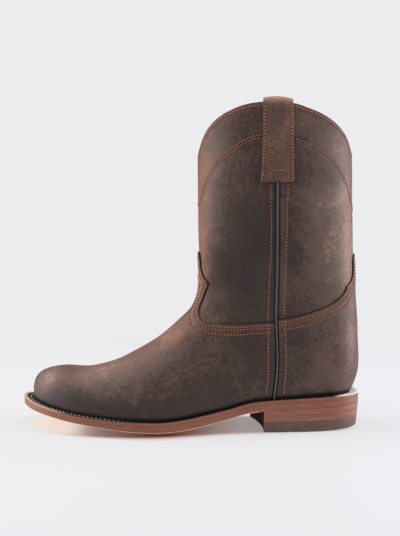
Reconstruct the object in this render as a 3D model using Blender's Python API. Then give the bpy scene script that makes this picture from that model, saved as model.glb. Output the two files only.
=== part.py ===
"""Roper boot for the left foot, standing empty and unbent on its sole.

Lengths in the constants and tables are in millimetres; meshes are made in metres.
X runs from the toe (minus) to the heel (plus), Z is up and the outer side of the foot is
minus Y. The origin is the middle of the heel's flat rest.

The upper is one form. A straight line in the side view joins its ridge (toe, instep, shaft
front) to its underside (feather, heel back, shaft back), and the lines fan round the ankle.
Along a line the half breadth follows two superellipse quarters that meet where it is widest.
"""

import bmesh
import bpy
import numpy as np

MM = 0.001
GAP = 0.3

# Thicknesses
WALL = 2.0
OVERLAY = 1.2
WELT = 3.0
WELT_LAP = 3.0
BEAD_HALF = 1.2
BEAD_HEIGHT = 2.0
STRAP = 1.8
STRAP_LOOP = 2.2
STRAP_INNER_GAP = 0.9

# Sections of the upper from the toe to the collar, one row for each line of the side view
SECTION_COLUMNS = ("front_x", "front_z", "under_x", "under_z", "lateral", "medial",
                   "centre", "widest", "crown", "tuck")
SECTIONS = (
    (-227.5, 22.2, -226.0, 18.0, 38.5, 38.5, 7.0, 0.70, 2.30, 3.5),
    (-228.1, 30.0, -222.0, 16.0, 39.5, 39.0, 7.0, 0.70, 2.30, 3.5),
    (-227.7, 35.8, -217.0, 14.0, 40.5, 39.5, 6.6, 0.70, 2.30, 3.5),
    (-225.2, 43.6, -210.0, 11.0, 41.5, 40.5, 6.2, 0.70, 2.30, 3.5),
    (-220.6, 48.4, -202.0, 8.0, 42.5, 41.5, 5.6, 0.70, 2.30, 3.5),
    (-212.5, 52.0, -194.0, 5.0, 43.5, 42.0, 4.8, 0.70, 2.30, 3.5),
    (-200.4, 54.2, -183.0, 2.0, 45.0, 42.5, 3.6, 0.70, 2.30, 3.5),
    (-178.5, 53.4, -166.0, -2.0, 46.5, 44.0, 1.0, 0.72, 2.20, 3.5),
    (-156.1, 58.0, -149.0, -5.0, 48.0, 45.0, -1.5, 0.74, 2.10, 3.2),
    (-133.8, 68.3, -130.0, -6.0, 48.0, 44.5, -2.5, 0.76, 1.95, 3.0),
    (-111.7, 81.3, -106.0, -3.0, 45.5, 41.5, -2.5, 0.76, 1.85, 2.8),
    (-95.0, 95.6, -78.0, 2.0, 41.0, 37.0, -2.0, 0.76, 1.80, 2.6),
    (-83.8, 106.4, -46.0, 6.0, 36.0, 33.0, -1.0, 0.76, 1.80, 2.5),
    (-78.8, 116.5, -8.0, 10.0, 33.0, 32.5, 0.0, 0.74, 1.80, 2.5),
    (-76.9, 124.8, 28.0, 15.0, 33.0, 33.0, 0.0, 0.70, 1.85, 2.6),
    (-76.3, 131.9, 53.4, 24.8, 33.5, 33.5, 0.0, 0.66, 1.90, 2.6),
    (-76.0, 140.0, 65.1, 46.5, 35.7, 35.7, 0.0, 0.62, 2.00, 2.4),
    (-76.3, 152.0, 66.1, 84.0, 39.7, 39.7, 0.0, 0.58, 2.00, 2.2),
    (-77.3, 170.0, 63.7, 125.9, 44.8, 44.8, 0.0, 0.55, 2.10, 2.2),
    (-77.8, 200.0, 62.2, 176.0, 50.0, 50.0, 0.0, 0.52, 2.10, 2.1),
    (-78.2, 245.0, 60.9, 240.0, 53.5, 53.5, 0.0, 0.50, 2.10, 2.1),
    (-78.4, 300.0, 60.5, 300.0, 55.0, 55.0, 0.0, 0.50, 2.10, 2.1),
)
TOE_TIP = -228.1
TOE_ROUND = 62.0

# Heights of the sole's edge and of the middle of its tread
SOLE_COLUMNS = ("x", "welt_top", "edge_bottom", "middle_bottom")
SOLE = (
    (-238.0, 27.6, 20.4, 20.4),
    (-228.0, 24.7, 17.6, 17.4),
    (-212.0, 21.2, 14.5, 13.8),
    (-193.7, 18.4, 11.6, 10.2),
    (-170.6, 15.8, 8.6, 6.2),
    (-149.7, 14.1, 5.9, 2.9),
    (-127.5, 13.0, 3.7, -0.2),
    (-107.0, 12.5, 2.9, -0.5),
    (-88.0, 14.4, 4.5, 1.4),
    (-74.4, 16.8, 6.9, 4.8),
    (-61.0, 19.5, 9.9, 8.5),
    (-49.6, 22.0, 12.7, 11.8),
    (-38.0, 25.4, 16.2, 15.7),
    (-30.0, 27.2, 17.8, 17.6),
    (-20.0, 28.2, 18.7, 18.6),
    (8.8, 30.2, 20.6, 20.6),
    (25.0, 31.1, 21.5, 21.5),
    (41.0, 31.9, 22.3, 22.3),
    (58.0, 32.3, 22.7, 22.7),
    (70.0, 32.3, 22.7, 22.7),
)
FLAT_HALF = 0.5

# How far the sole reaches past the upper
LEDGE_COLUMNS = ("x", "lateral", "medial")
LEDGE = (
    (-228.0, 10.0, 10.0),
    (-205.0, 8.0, 8.0),
    (-170.0, 6.6, 6.6),
    (-130.0, 6.2, 6.0),
    (-90.0, 5.6, 4.6),
    (-50.0, 4.8, 3.6),
    (-20.0, 5.0, 4.6),
    (15.0, 5.4, 5.4),
    (45.0, 8.0, 8.0),
    (62.0, 9.6, 9.6),
)

# Heel
BREAST_LATERAL = -19.4
BREAST_MEDIAL = -28.5
BREAST_HOLLOW = 3.3
HEEL_TAPER = 2.0
LIFTS = 2
RUBBER_AT_ORIGIN = 9.5
RUBBER_SLOPE = 0.026
HEEL_FLAT_END = 16.0
HEEL_RISE = 2.9
HEEL_RISE_LENGTH = 52.0

# Collar arch, the same on both sides
COLLAR_COLUMNS = ("x", "z")
COLLAR = (
    (-82.0, 243.2), (-78.6, 243.8), (-77.4, 249.0), (-75.0, 257.2), (-71.5, 265.0),
    (-66.0, 272.4), (-58.6, 278.6), (-48.4, 283.9), (-36.0, 288.0), (-20.0, 289.8),
    (-5.0, 289.7), (7.6, 287.8), (18.0, 284.4), (28.7, 280.4), (39.9, 274.1), (48.0, 267.2),
    (54.0, 259.5), (57.6, 251.5), (60.0, 246.6), (62.0, 245.4),
)

# Side seam, from the pull strap down to the welt
SEAM_COLUMNS = ("z", "x")
SIDE_SEAM = (
    (20.0, -11.2), (28.8, -10.5), (38.7, -9.4), (55.7, -7.9), (78.0, -7.8), (98.0, -8.9),
    (147.0, -8.9), (189.0, -9.4), (226.0, -9.4),
)
SEAM_TOP = 221.2

# Top edge of the vamp with its tongue, from the tongue's tip to the side seam
VAMP_EDGE = (
    (-80.2, 161.0), (-77.6, 158.0), (-76.4, 151.0), (-75.2, 141.7), (-72.8, 135.6),
    (-69.6, 131.4), (-69.2, 129.2), (-70.6, 125.9), (-72.7, 120.3), (-74.7, 115.1),
    (-76.4, 111.1), (-77.5, 106.8), (-77.2, 103.4), (-75.9, 99.6), (-73.3, 97.2),
    (-69.6, 96.2), (-63.2, 95.6), (-52.2, 95.3), (-37.4, 96.0), (-26.1, 97.1), (-16.8, 98.0),
)
VAMP_CORNER = 98.2

# Top edge of the counter with its tongue, from the side seam to the tongue's tip
COUNTER_CORNER = 101.0
COUNTER_EDGE = (
    (1.7, 102.3), (12.5, 104.9), (24.0, 108.2), (35.3, 112.6), (44.6, 117.1), (48.0, 119.7),
    (50.7, 122.2), (52.6, 124.5), (54.0, 127.0), (54.4, 129.4), (56.5, 130.9), (59.3, 134.2),
    (61.0, 138.4), (61.9, 144.0), (61.5, 149.5), (61.9, 154.0), (64.0, 157.0), (67.0, 159.0),
)

# Pull strap: height against its two edges
STRAP_COLUMNS = ("z", "front", "back")
STRAP_EDGES = (
    (221.8, -24.0, 4.8),
    (240.0, -23.0, 4.4),
    (262.0, -22.2, 3.8),
    (292.0, -22.2, 3.4),
)
STRAP_INSIDE = 34.0

# Mesh steps
ROWS_FOOT = 28
ROWS_ANKLE = 4
ROWS_SHAFT = 9
COLUMNS = 12
SOLE_ROWS = 30
SOLE_ACROSS = 6
HEEL_ROWS = 10


def curve(knots, values, at):
    """Smooth curve through a table: cubic pieces, each slope from its neighbours' parabola."""
    knots = np.asarray(knots, float)
    values = np.asarray(values, float)
    at = np.clip(np.asarray(at, float), knots[0], knots[-1])
    step = np.diff(knots)
    rise = np.diff(values) / step
    slope = np.empty_like(values)
    slope[1:-1] = (rise[:-1] * step[1:] + rise[1:] * step[:-1]) / (step[1:] + step[:-1])
    slope[0] = 1.5 * rise[0] - 0.5 * slope[1]
    slope[-1] = 1.5 * rise[-1] - 0.5 * slope[-2]
    i = np.clip(np.searchsorted(knots, at, side="right") - 1, 0, len(step) - 1)
    u = (at - knots[i]) / step[i]
    return ((1 + 2 * u) * (1 - u) ** 2 * values[i]
            + u * (1 - u) ** 2 * step[i] * slope[i]
            + u * u * (3 - 2 * u) * values[i + 1]
            + u * u * (u - 1) * step[i] * slope[i + 1])


def looked_up(table, columns, name, at):
    """One named column of a table, read smoothly against its first column."""
    rows = np.array(table)
    return curve(rows[:, 0], rows[:, columns.index(name)], at)


def section_knots():
    """Place of each section row along the boot, from 0 at the toe to 1 above the collar."""
    rows = np.array(SECTIONS)
    front = np.hypot(np.diff(rows[:, 0]), np.diff(rows[:, 1]))
    under = np.hypot(np.diff(rows[:, 2]), np.diff(rows[:, 3]))
    place = np.concatenate([[0.0], np.cumsum(front + under)])
    return place / place[-1]


KNOTS = section_knots()
FINE = np.linspace(0.0, 1.0, 1201)


def section(name, s):
    """One column of the section table at the places s."""
    return curve(KNOTS, np.array(SECTIONS)[:, SECTION_COLUMNS.index(name)], s)


def welt_top(x):
    return looked_up(SOLE, SOLE_COLUMNS, "welt_top", x)


def toe_closing(x):
    """Share of the half breadth left by the quarter ellipse that rounds the toe in plan."""
    inward = np.clip((TOE_TIP + TOE_ROUND - x) / TOE_ROUND, 0.0, 1.0)
    return np.sqrt(1.0 - inward ** 2)


def form(s, t, side):
    """Point of the upper's outer face: s along the boot, t from ridge (0) to underside (1).

    side is -1 on the outer side of the foot and +1 on the inner side; a t below 0 or above 1
    runs on over the ridge or the back to the other side.
    """
    s, t, side = np.broadcast_arrays(*(np.asarray(v, float) for v in (s, t, side)))
    side = np.where((t > 1.0) | (t < 0.0), -side, side)
    t = np.where(t > 1.0, 2.0 - t, np.abs(t))
    x = section("front_x", s) * (1 - t) + section("under_x", s) * t
    z = section("front_z", s) * (1 - t) + section("under_z", s) * t
    widest, crown, tuck = section("widest", s), section("crown", s), section("tuck", s)
    above = np.clip(1.0 - t / widest, 0.0, 1.0)
    below = np.clip((t - widest) / (1.0 - widest), 0.0, 1.0)
    share = np.where(t < widest,
                     (1.0 - above ** crown) ** (1.0 / crown),
                     (1.0 - below ** tuck) ** (1.0 / tuck))
    half = np.where(side < 0, section("lateral", s), section("medial", s))
    y = section("centre", s) + side * half * share * toe_closing(x)
    return np.stack([x, y, z], axis=-1)


def skin(s, t, side, offset):
    """Point at a distance from the outer face, along its outward normal (minus is inward)."""
    s, t, side = np.broadcast_arrays(*(np.asarray(v, float) for v in (s, t, side)))
    ds, dt = 4e-4, 2e-4
    along = form(np.minimum(s + ds, 1.0), t, side) - form(np.maximum(s - ds, 0.0), t, side)
    round_it = form(s, t + dt, side) - form(s, t - dt, side)
    normal = np.cross(along, round_it)
    place = form(s, t, side)
    middle = form(s, np.full_like(t, 0.5), side)
    middle[..., 1] = section("centre", s)
    flip = np.where(np.sum(normal * (place - middle), axis=-1) < 0, -1.0, 1.0)
    length = np.linalg.norm(normal, axis=-1)
    return place + normal * (flip * offset / np.maximum(length, 1e-12))[..., None]


def halved(test, low, high):
    """Bisection for arrays: test(middle) is true while the answer lies higher."""
    low = np.array(low, float)
    high = np.array(high, float)
    for _ in range(40):
        middle = 0.5 * (low + high)
        higher = test(middle)
        low = np.where(higher, middle, low)
        high = np.where(higher, high, middle)
    return 0.5 * (low + high)


def above_welt(s, t):
    """Height of the form over the face it stands on."""
    place = form(s, t, -1.0)
    return place[..., 2] - welt_top(place[..., 0]) - GAP


S_TOE = float(halved(lambda s: above_welt(s, 0.0) < 0, 0.0, 0.08))
S_HEEL = float(halved(lambda s: above_welt(s, 1.0) < 0, 0.45, 0.62))
S_ANKLE = S_HEEL + 0.07


def feather(s):
    """Fraction of each section line at which it meets the welt; 1 above the heel."""
    s = np.asarray(s, float)
    met = halved(lambda t: above_welt(s, t) > 0, np.zeros_like(s), np.ones_like(s))
    return np.where(s >= S_HEEL - 1e-9, 1.0, np.where(s <= S_TOE + 1e-9, 0.0, met))


def around(s, a):
    """Fraction t for the grid place a: 0 at the ridge, 1 at the feather or the back line."""
    ramp = np.clip((np.asarray(s, float) - 0.30) / (S_HEEL - 0.30), 0.0, 1.0)
    turn = np.pi * (0.62 + 0.38 * ramp * ramp * (3 - 2 * ramp))
    return feather(s) * (1 - np.cos(turn * a)) / (1 - np.cos(turn))


def collar_place(a):
    """Place s at which the grid line a meets the collar arch."""
    t = (1 - np.cos(np.pi * np.abs(a))) / 2

    def lower(s):
        place = form(s, t, -1.0)
        return place[..., 2] < looked_up(COLLAR, COLLAR_COLUMNS, "z", place[..., 0])

    return halved(lower, np.full_like(t, 0.75), np.ones_like(t))


def upper_grid(offset):
    """Grid of points of the whole upper, moved off its outer face by the offset."""
    even = np.linspace(0, 1, ROWS_FOOT)
    foot = S_TOE + (S_HEEL - S_TOE) * (0.25 * even + 0.75 * (1 - np.cos(np.pi * even)) / 2)
    ankle = np.linspace(S_HEEL, S_ANKLE, ROWS_ANKLE + 1)[1:]
    a = np.linspace(-1.0, 1.0, 2 * COLUMNS + 1)
    lower = np.repeat(np.concatenate([foot, ankle])[:, None], len(a), axis=1)
    share = np.linspace(0, 1, ROWS_SHAFT + 1)[1:, None]
    shaft = S_ANKLE + share * (collar_place(a)[None] - S_ANKLE)
    s = np.concatenate([lower, shaft])
    a = np.repeat(a[None], len(s), axis=0)
    side = np.where(a < 0, -1.0, 1.0)
    points = skin(s, around(s, np.abs(a)), side, offset)
    points[0] = points[0, COLUMNS]
    points[0, :, 1] = section("centre", S_TOE)
    points[:, COLUMNS, 1] = section("centre", s[:, COLUMNS])
    closed = s[:, 0] >= S_HEEL - 1e-9
    points[closed, 0, 1] = section("centre", s[closed, 0])
    points[closed, -1] = points[closed, 0]
    foot_rows = ROWS_FOOT
    for column in (0, -1):
        edge = points[:foot_rows, column]
        edge[:, 2] = welt_top(edge[:, 0]) + GAP
    points[0, :, 2] = welt_top(points[0, :, 0]) + GAP
    return points


def grid_faces(rows, columns):
    """Triangles of a grid; the diagonals are mirrored about its middle column."""
    i, j = np.meshgrid(np.arange(rows - 1), np.arange(columns - 1), indexing="ij")
    a = (i * columns + j).ravel()
    b, c, d = a + 1, a + columns + 1, a + columns
    left = (j < (columns - 1) / 2).ravel()
    first = np.where(left[:, None], np.stack([a, b, c], 1), np.stack([a, b, d], 1))
    second = np.where(left[:, None], np.stack([a, c, d], 1), np.stack([b, c, d], 1))
    return np.concatenate([first, second])


def sheet(name, outer, inner, look):
    """Closed solid between two grids of the same shape, with walls along the open edges."""
    rows, columns = outer.shape[:2]
    outer = outer.reshape(-1, 3)
    inner = inner.reshape(-1, 3)
    key = np.round(np.concatenate([outer, inner], axis=1) * 2000).astype(np.int64)
    kept, index = np.unique(key, axis=0, return_index=True, return_inverse=True)[1:]
    index = index.ravel()
    faces = index[grid_faces(rows, columns)]
    whole = ((faces[:, 0] != faces[:, 1]) & (faces[:, 1] != faces[:, 2])
             & (faces[:, 2] != faces[:, 0]))
    faces = faces[whole]
    outer, inner = outer[kept], inner[kept]
    count = len(kept)
    edges = np.concatenate([faces[:, [0, 1]], faces[:, [1, 2]], faces[:, [2, 0]]])
    mark = np.sort(edges, axis=1) @ np.array([count, 1])
    found, times = np.unique(mark, return_counts=True)
    rim = edges[np.isin(mark, found[times == 1])]
    walls = np.concatenate([
        np.stack([rim[:, 1], rim[:, 0], rim[:, 0] + count], 1),
        np.stack([rim[:, 1], rim[:, 0] + count, rim[:, 1] + count], 1),
    ])
    triangles = np.concatenate([faces, faces[:, ::-1] + count, walls])
    return solid(name, np.concatenate([outer, inner]), triangles, look)


def solid(name, points, faces, look):
    """Mesh object from millimetre points and faces, facing outward and shaded smooth."""
    mesh = bpy.data.meshes.new(name)
    mesh.from_pydata((np.asarray(points) * MM).tolist(), [], [list(map(int, f)) for f in faces])
    work = bmesh.new()
    work.from_mesh(mesh)
    bmesh.ops.recalc_face_normals(work, faces=work.faces)
    if work.calc_volume(signed=True) < 0:
        bmesh.ops.reverse_faces(work, faces=work.faces)
    work.to_mesh(mesh)
    work.free()
    mesh.shade_smooth()
    thing = bpy.data.objects.new(name, mesh)
    bpy.context.scene.collection.objects.link(thing)
    mesh.materials.append(material(name, *look))
    return thing


def material(name, colour, roughness):
    """Plain Principled material for one piece."""
    made = bpy.data.materials.new(name)
    made.use_nodes = True
    shader = made.node_tree.nodes["Principled BSDF"]
    shader.inputs["Base Color"].default_value = (*colour, 1.0)
    shader.inputs["Roughness"].default_value = roughness
    shader.inputs["Metallic"].default_value = 0.0
    return made


def cut_to(thing, outline):
    """Keep what lies inside a side-view outline run through the boot's whole breadth."""
    outline = np.array(outline, float)
    count = len(outline)
    near = np.stack([outline[:, 0], np.full(count, -90.0), outline[:, 1]], 1)
    far = near + np.array([0.0, 180.0, 0.0])
    ring = np.arange(count)
    after = (ring + 1) % count
    faces = [list(ring), list(ring[::-1] + count)]
    faces += [list(f) for f in np.stack([ring, ring + count, after + count, after], 1)]
    cutter = solid(thing.name + ".cutter", np.concatenate([near, far]), faces, BLACK)
    cutter.hide_render = True
    cutter.display_type = "WIRE"
    cut = thing.modifiers.new("cut", "BOOLEAN")
    cut.operation = "INTERSECT"
    cut.solver = "EXACT"
    cut.object = cutter
    graph = bpy.context.evaluated_depsgraph_get()
    done = bpy.data.meshes.new_from_object(thing.evaluated_get(graph))
    thing.modifiers.clear()
    thing.data = done
    bpy.data.objects.remove(cutter)


def located(x, z):
    """Place and fraction (s, t) of the section line that passes the side-view point (x, z)."""
    x = np.asarray(x, float).ravel()[:, None]
    z = np.asarray(z, float).ravel()[:, None]
    front_x, front_z = section("front_x", FINE), section("front_z", FINE)
    run_x, run_z = section("under_x", FINE) - front_x, section("under_z", FINE) - front_z
    miss = run_x * (z - front_z) - run_z * (x - front_x)
    t = (run_x * (x - front_x) + run_z * (z - front_z)) / (run_x ** 2 + run_z ** 2)
    crosses = (miss[:, :-1] * miss[:, 1:] <= 0) & (t[:, :-1] > -0.1) & (t[:, :-1] < 1.1)
    pick = np.argmax(crosses, axis=1)
    row = np.arange(len(pick))
    share = miss[row, pick] / (miss[row, pick] - miss[row, pick + 1])
    s = FINE[pick] + share * (FINE[1] - FINE[0])
    return s, t[row, pick] + share * (t[row, pick + 1] - t[row, pick])


def seam_x(z):
    return looked_up(SIDE_SEAM, SEAM_COLUMNS, "x", z)


def make_upper():
    """Hollow upper, open at the collar and underneath."""
    sheet("upper", upper_grid(0.0), upper_grid(-WALL), LEATHER)


def make_vamp():
    """Overlay over toe and instep, cut to its edge line and to the side seam."""
    rows = ROWS_FOOT + ROWS_ANKLE + 3
    low, high = upper_grid(GAP)[:rows], upper_grid(GAP + OVERLAY)[:rows]
    vamp = sheet("vamp", high, low, LEATHER)
    z = np.array([VAMP_CORNER, 90.0, 78.0, 67.0, 55.7, 47.0, 38.7, 28.8])
    edge = list(VAMP_EDGE) + list(zip(seam_x(z) - BEAD_HALF - GAP, z))
    cut_to(vamp, edge + [(edge[-1][0], -30.0), (-260.0, -30.0), (-260.0, VAMP_EDGE[0][1])])


def make_counter():
    """Overlay round the heel, cut to its edge line and to the side seam."""
    first = ROWS_FOOT - 16
    rows = ROWS_FOOT + ROWS_ANKLE + 3
    low, high = upper_grid(GAP)[first:rows], upper_grid(GAP + OVERLAY)[first:rows]
    counter = sheet("counter", high, low, LEATHER)
    z = np.array([28.8, 38.7, 47.0, 55.7, 67.0, 78.0, 90.0, COUNTER_CORNER])
    edge = list(zip(seam_x(z) + BEAD_HALF + GAP, z)) + list(COUNTER_EDGE)
    cut_to(counter, [(edge[0][0], -30.0)] + edge + [(120.0, edge[-1][1]), (120.0, -30.0)])


def make_piping(name, side):
    """Raised bead down a side seam: a low arch run along the seam line."""
    foot = float(halved(lambda z: z < welt_top(seam_x(z)) + 2 * GAP, 20.0, 40.0))
    z = np.linspace(foot, SEAM_TOP, 21)[:, None]
    across = np.array([-1.0, -0.55, 0.0, 0.55, 1.0])[None] * BEAD_HALF
    height = GAP + (BEAD_HEIGHT - GAP) * np.array([0.35, 0.85, 1.0, 0.85, 0.35])[None]
    x = seam_x(z) + across
    s, t = located(x, z + 0 * x)
    top = skin(s, t, side, (height + 0 * x).ravel()).reshape(*x.shape, 3)
    base = skin(s, t, side, GAP).reshape(*x.shape, 3)
    sheet(name, top, base, DARK_LEATHER)


def make_strap(name, side):
    """Pull strap: up the outside, over the collar in a loop and down the inside."""
    low = STRAP_EDGES[0][0]
    u = np.linspace(0.0, 1.0, 5)[None]
    edge_x = lambda z: (looked_up(STRAP_EDGES, STRAP_COLUMNS, "front", z) * (1 - u)
                        + looked_up(STRAP_EDGES, STRAP_COLUMNS, "back", z) * u)
    crest_x = edge_x(np.array([[290.0]]))
    crest = looked_up(COLLAR, COLLAR_COLUMNS, "z", crest_x)
    share = np.linspace(0.0, 1.0, 6)[:, None]
    outside = low + share * (crest - low)
    inside = crest - np.linspace(0.0, 1.0, 4)[1:, None] * STRAP_INSIDE
    angle = np.linspace(0.0, np.pi, 7)[:, None]
    half = 0.5 * (WALL + GAP + STRAP_INNER_GAP)
    centre = GAP - half

    def layer(grow):
        parts = []
        for z, offset in ((outside, GAP + grow), (inside, -WALL - STRAP_INNER_GAP - grow)):
            x = edge_x(z[:, :1]) if z is outside else crest_x + 0 * z
            s, t = located(x, z)
            parts.append(skin(s, t, side, offset).reshape(*x.shape, 3))
        s, t = located(crest_x + 0 * angle, crest + 0 * angle)
        shift = (centre + (half + grow) * np.cos(angle) + 0 * crest).ravel()
        loop = skin(s, t, side, shift).reshape(len(angle), -1, 3)
        loop[..., 2] += (STRAP_LOOP + grow) * np.sin(angle)
        return np.concatenate([parts[0], loop[1:], parts[1]])

    sheet(name, layer(STRAP), layer(0.0), LEATHER)


def feather_loop(count):
    """Plan outline of the upper's feather as a closed loop, toe tip first, inner side next."""
    s = S_TOE + (S_HEEL - S_TOE) * np.linspace(0, 1, 500) ** 1.6
    t = feather(s)
    inner, outer = form(s, t, 1.0)[:, :2], form(s, t, -1.0)[:, :2]
    inner[0, 1] = outer[0, 1] = section("centre", S_TOE)
    inner[-1, 1] = outer[-1, 1] = section("centre", S_HEEL)
    length = np.concatenate([[0], np.cumsum(np.hypot(*np.diff(inner + outer, axis=0).T / 2)
                                            + np.abs(np.diff(inner[:, 1] - outer[:, 1])) / 2)])
    even = np.linspace(0, length[-1], count + 1)
    place = [[np.interp(even, length, line[:, k]) for k in (0, 1)] for line in (inner, outer)]
    inner, outer = (np.array(p).T for p in place)
    return np.concatenate([inner, outer[-2:0:-1]])


def grown(loop, distance):
    """Loop moved outward by a distance at each point, along its plan normal."""
    run = np.roll(loop, -1, axis=0) - np.roll(loop, 1, axis=0)
    normal = np.stack([run[:, 1], -run[:, 0]], 1)
    normal /= np.linalg.norm(normal, axis=1)[:, None]
    area = np.sum(loop[:, 0] * np.roll(loop[:, 1], -1) - np.roll(loop[:, 0], -1) * loop[:, 1])
    return loop + np.sign(area) * normal * np.reshape(distance, (-1, 1))


def sole_loop(count, inset=0.0):
    """Outline of the sole: the feather grown by the ledge, which differs on the two sides."""
    loop = feather_loop(count)
    inner = np.arange(len(loop)) <= count
    reach = np.where(inner, looked_up(LEDGE, LEDGE_COLUMNS, "medial", loop[:, 0]),
                     looked_up(LEDGE, LEDGE_COLUMNS, "lateral", loop[:, 0]))
    return grown(loop, reach - inset)


def two_sides(loop):
    """Outer-side and inner-side points of a loop, both from toe to heel."""
    count = len(loop) // 2
    return np.concatenate([loop[:1], loop[:count - 1:-1]]), loop[:count + 1]


def plan_grid(outer, inner, across):
    """Plan points in straight rows between the two sides."""
    v = np.linspace(0, 1, across + 1)[None, :, None]
    return outer[:, None] * (1 - v) + inner[:, None] * v


def slab(name, plan_top, plan_bottom, top, bottom, look):
    """Solid between two heights over a plan grid."""
    upper_face = np.concatenate([plan_top, top[..., None]], axis=-1)
    lower_face = np.concatenate([plan_bottom, bottom[..., None]], axis=-1)
    sheet(name, upper_face, lower_face, look)


def make_welt():
    """Ring under the upper's edge, the ledge of the foot and the rand of the heel."""
    outer = sole_loop(SOLE_ROWS)
    inner = grown(feather_loop(SOLE_ROWS), -WELT_LAP)
    ring = np.stack([outer, 0.5 * (outer + inner), inner], axis=1)
    ring = np.concatenate([ring, ring[:1]])
    height = welt_top(ring[..., 0])
    slab("welt", ring, ring, height, height - WELT, NATURAL)


def make_outsole():
    """Leather sole with arch and toe spring, hollowed up toward its edges under the ball."""
    plan = plan_grid(*two_sides(sole_loop(SOLE_ROWS)), SOLE_ACROSS)
    x = plan[..., 0]
    top = welt_top(x) - WELT - GAP
    edge = looked_up(SOLE, SOLE_COLUMNS, "edge_bottom", x)
    middle = np.maximum(looked_up(SOLE, SOLE_COLUMNS, "middle_bottom", x), 0.0)
    v = np.abs(np.linspace(-1, 1, SOLE_ACROSS + 1))[None]
    lift = np.clip((v - FLAT_HALF) / (1 - FLAT_HALF), 0, 1) ** 2
    slab("outsole", plan, plan, top, middle + (edge - middle) * lift, NATURAL)


def make_insole():
    """Floor of the inside, a little within the welt ring and the upper's wall."""
    loop = grown(feather_loop(SOLE_ROWS), -WELT_LAP - GAP)
    plan = plan_grid(*two_sides(loop), 4)
    top = welt_top(plan[..., 0])
    slab("insole", plan, plan, top, top - WELT, TAN)


def heel_plan(inset):
    """Plan grid of the heel from its breast to its back."""
    sides = two_sides(sole_loop(120, inset))
    rows = []
    for line, breast in zip(sides, (BREAST_LATERAL, BREAST_MEDIAL)):
        line = line[60:]
        length = np.concatenate([[0], np.cumsum(np.hypot(*np.diff(line, axis=0).T))])
        start = np.interp(breast, line[:, 0], length)
        even = start + (length[-1] - start) * np.linspace(0, 1, HEEL_ROWS + 1)
        rows.append(np.stack([np.interp(even, length, line[:, k]) for k in (0, 1)], 1))
    plan = plan_grid(*rows, 6)
    v = np.linspace(-1, 1, 7)[None]
    fade = np.linspace(1, 0, HEEL_ROWS + 1)[:, None] ** 2
    plan[..., 0] += BREAST_HOLLOW * (1 - v ** 2) * fade
    return plan


def heel_height(x, level):
    """Height in the heel stack: 0 is the outsole's underside, 1 the top of the rubber."""
    sole = looked_up(SOLE, SOLE_COLUMNS, "edge_bottom", x) - GAP
    rubber = RUBBER_AT_ORIGIN + RUBBER_SLOPE * x
    return sole + (rubber - sole) * level


def heel_floor(x):
    """Tread of the heel: flat on the floor, then gently up toward the back."""
    return HEEL_RISE * np.clip((x - HEEL_FLAT_END) / HEEL_RISE_LENGTH, 0, 1) ** 1.5


def make_heel():
    """Leather lifts and the rubber top lift, each a slice of one tapered stack."""
    tapered = lambda z: HEEL_TAPER * (1 - z / 22.0)
    reach = 20.3 - RUBBER_AT_ORIGIN
    for k in range(LIFTS):
        top_level, bottom_level = k / LIFTS, (k + 1) / LIFTS
        top = heel_plan(tapered(20.3 - reach * top_level))
        bottom = heel_plan(tapered(20.3 - reach * bottom_level))
        raised = GAP if k < LIFTS - 1 else 0.0
        slab("heel_lift_%d" % (k + 1), top, bottom, heel_height(top[..., 0], top_level),
             heel_height(bottom[..., 0], bottom_level) + raised, NATURAL)
    top, bottom = heel_plan(tapered(RUBBER_AT_ORIGIN)), heel_plan(tapered(0.0))
    slab("top_lift", top, bottom, heel_height(top[..., 0], 1.0) - GAP,
         heel_floor(bottom[..., 0]), RUBBER)


BLACK = ((0.02, 0.02, 0.02), 0.6)
LEATHER = ((0.115, 0.070, 0.055), 0.45)
DARK_LEATHER = ((0.030, 0.022, 0.020), 0.35)
NATURAL = ((0.30, 0.115, 0.070), 0.5)
TAN = ((0.45, 0.28, 0.17), 0.7)
RUBBER = ((0.10, 0.060, 0.045), 0.6)


def main():
    for thing in list(bpy.data.objects):
        bpy.data.objects.remove(thing)
    make_upper()
    make_vamp()
    make_counter()
    make_piping("piping_lateral", -1.0)
    make_piping("piping_medial", 1.0)
    make_strap("strap_lateral", -1.0)
    make_strap("strap_medial", 1.0)
    make_welt()
    make_outsole()
    make_insole()
    make_heel()


main()
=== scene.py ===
"""Looks of the roper boot: each visible piece as a fine surface with its finish, and the stage.

Lengths in the tables are in millimetres, in the part's own frame: X runs from the toe (minus)
to the heel, Z is up, the outer side of the foot is minus Y, and the origin lies under the
middle of the heel. The form is worked out as in the part's source: a straight line in the
side view joins the ridge to the underside, the lines fan round the ankle, and along a line
the half breadth follows two superellipse quarters. Soft relief is added along the normal.
"""

import math

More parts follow.
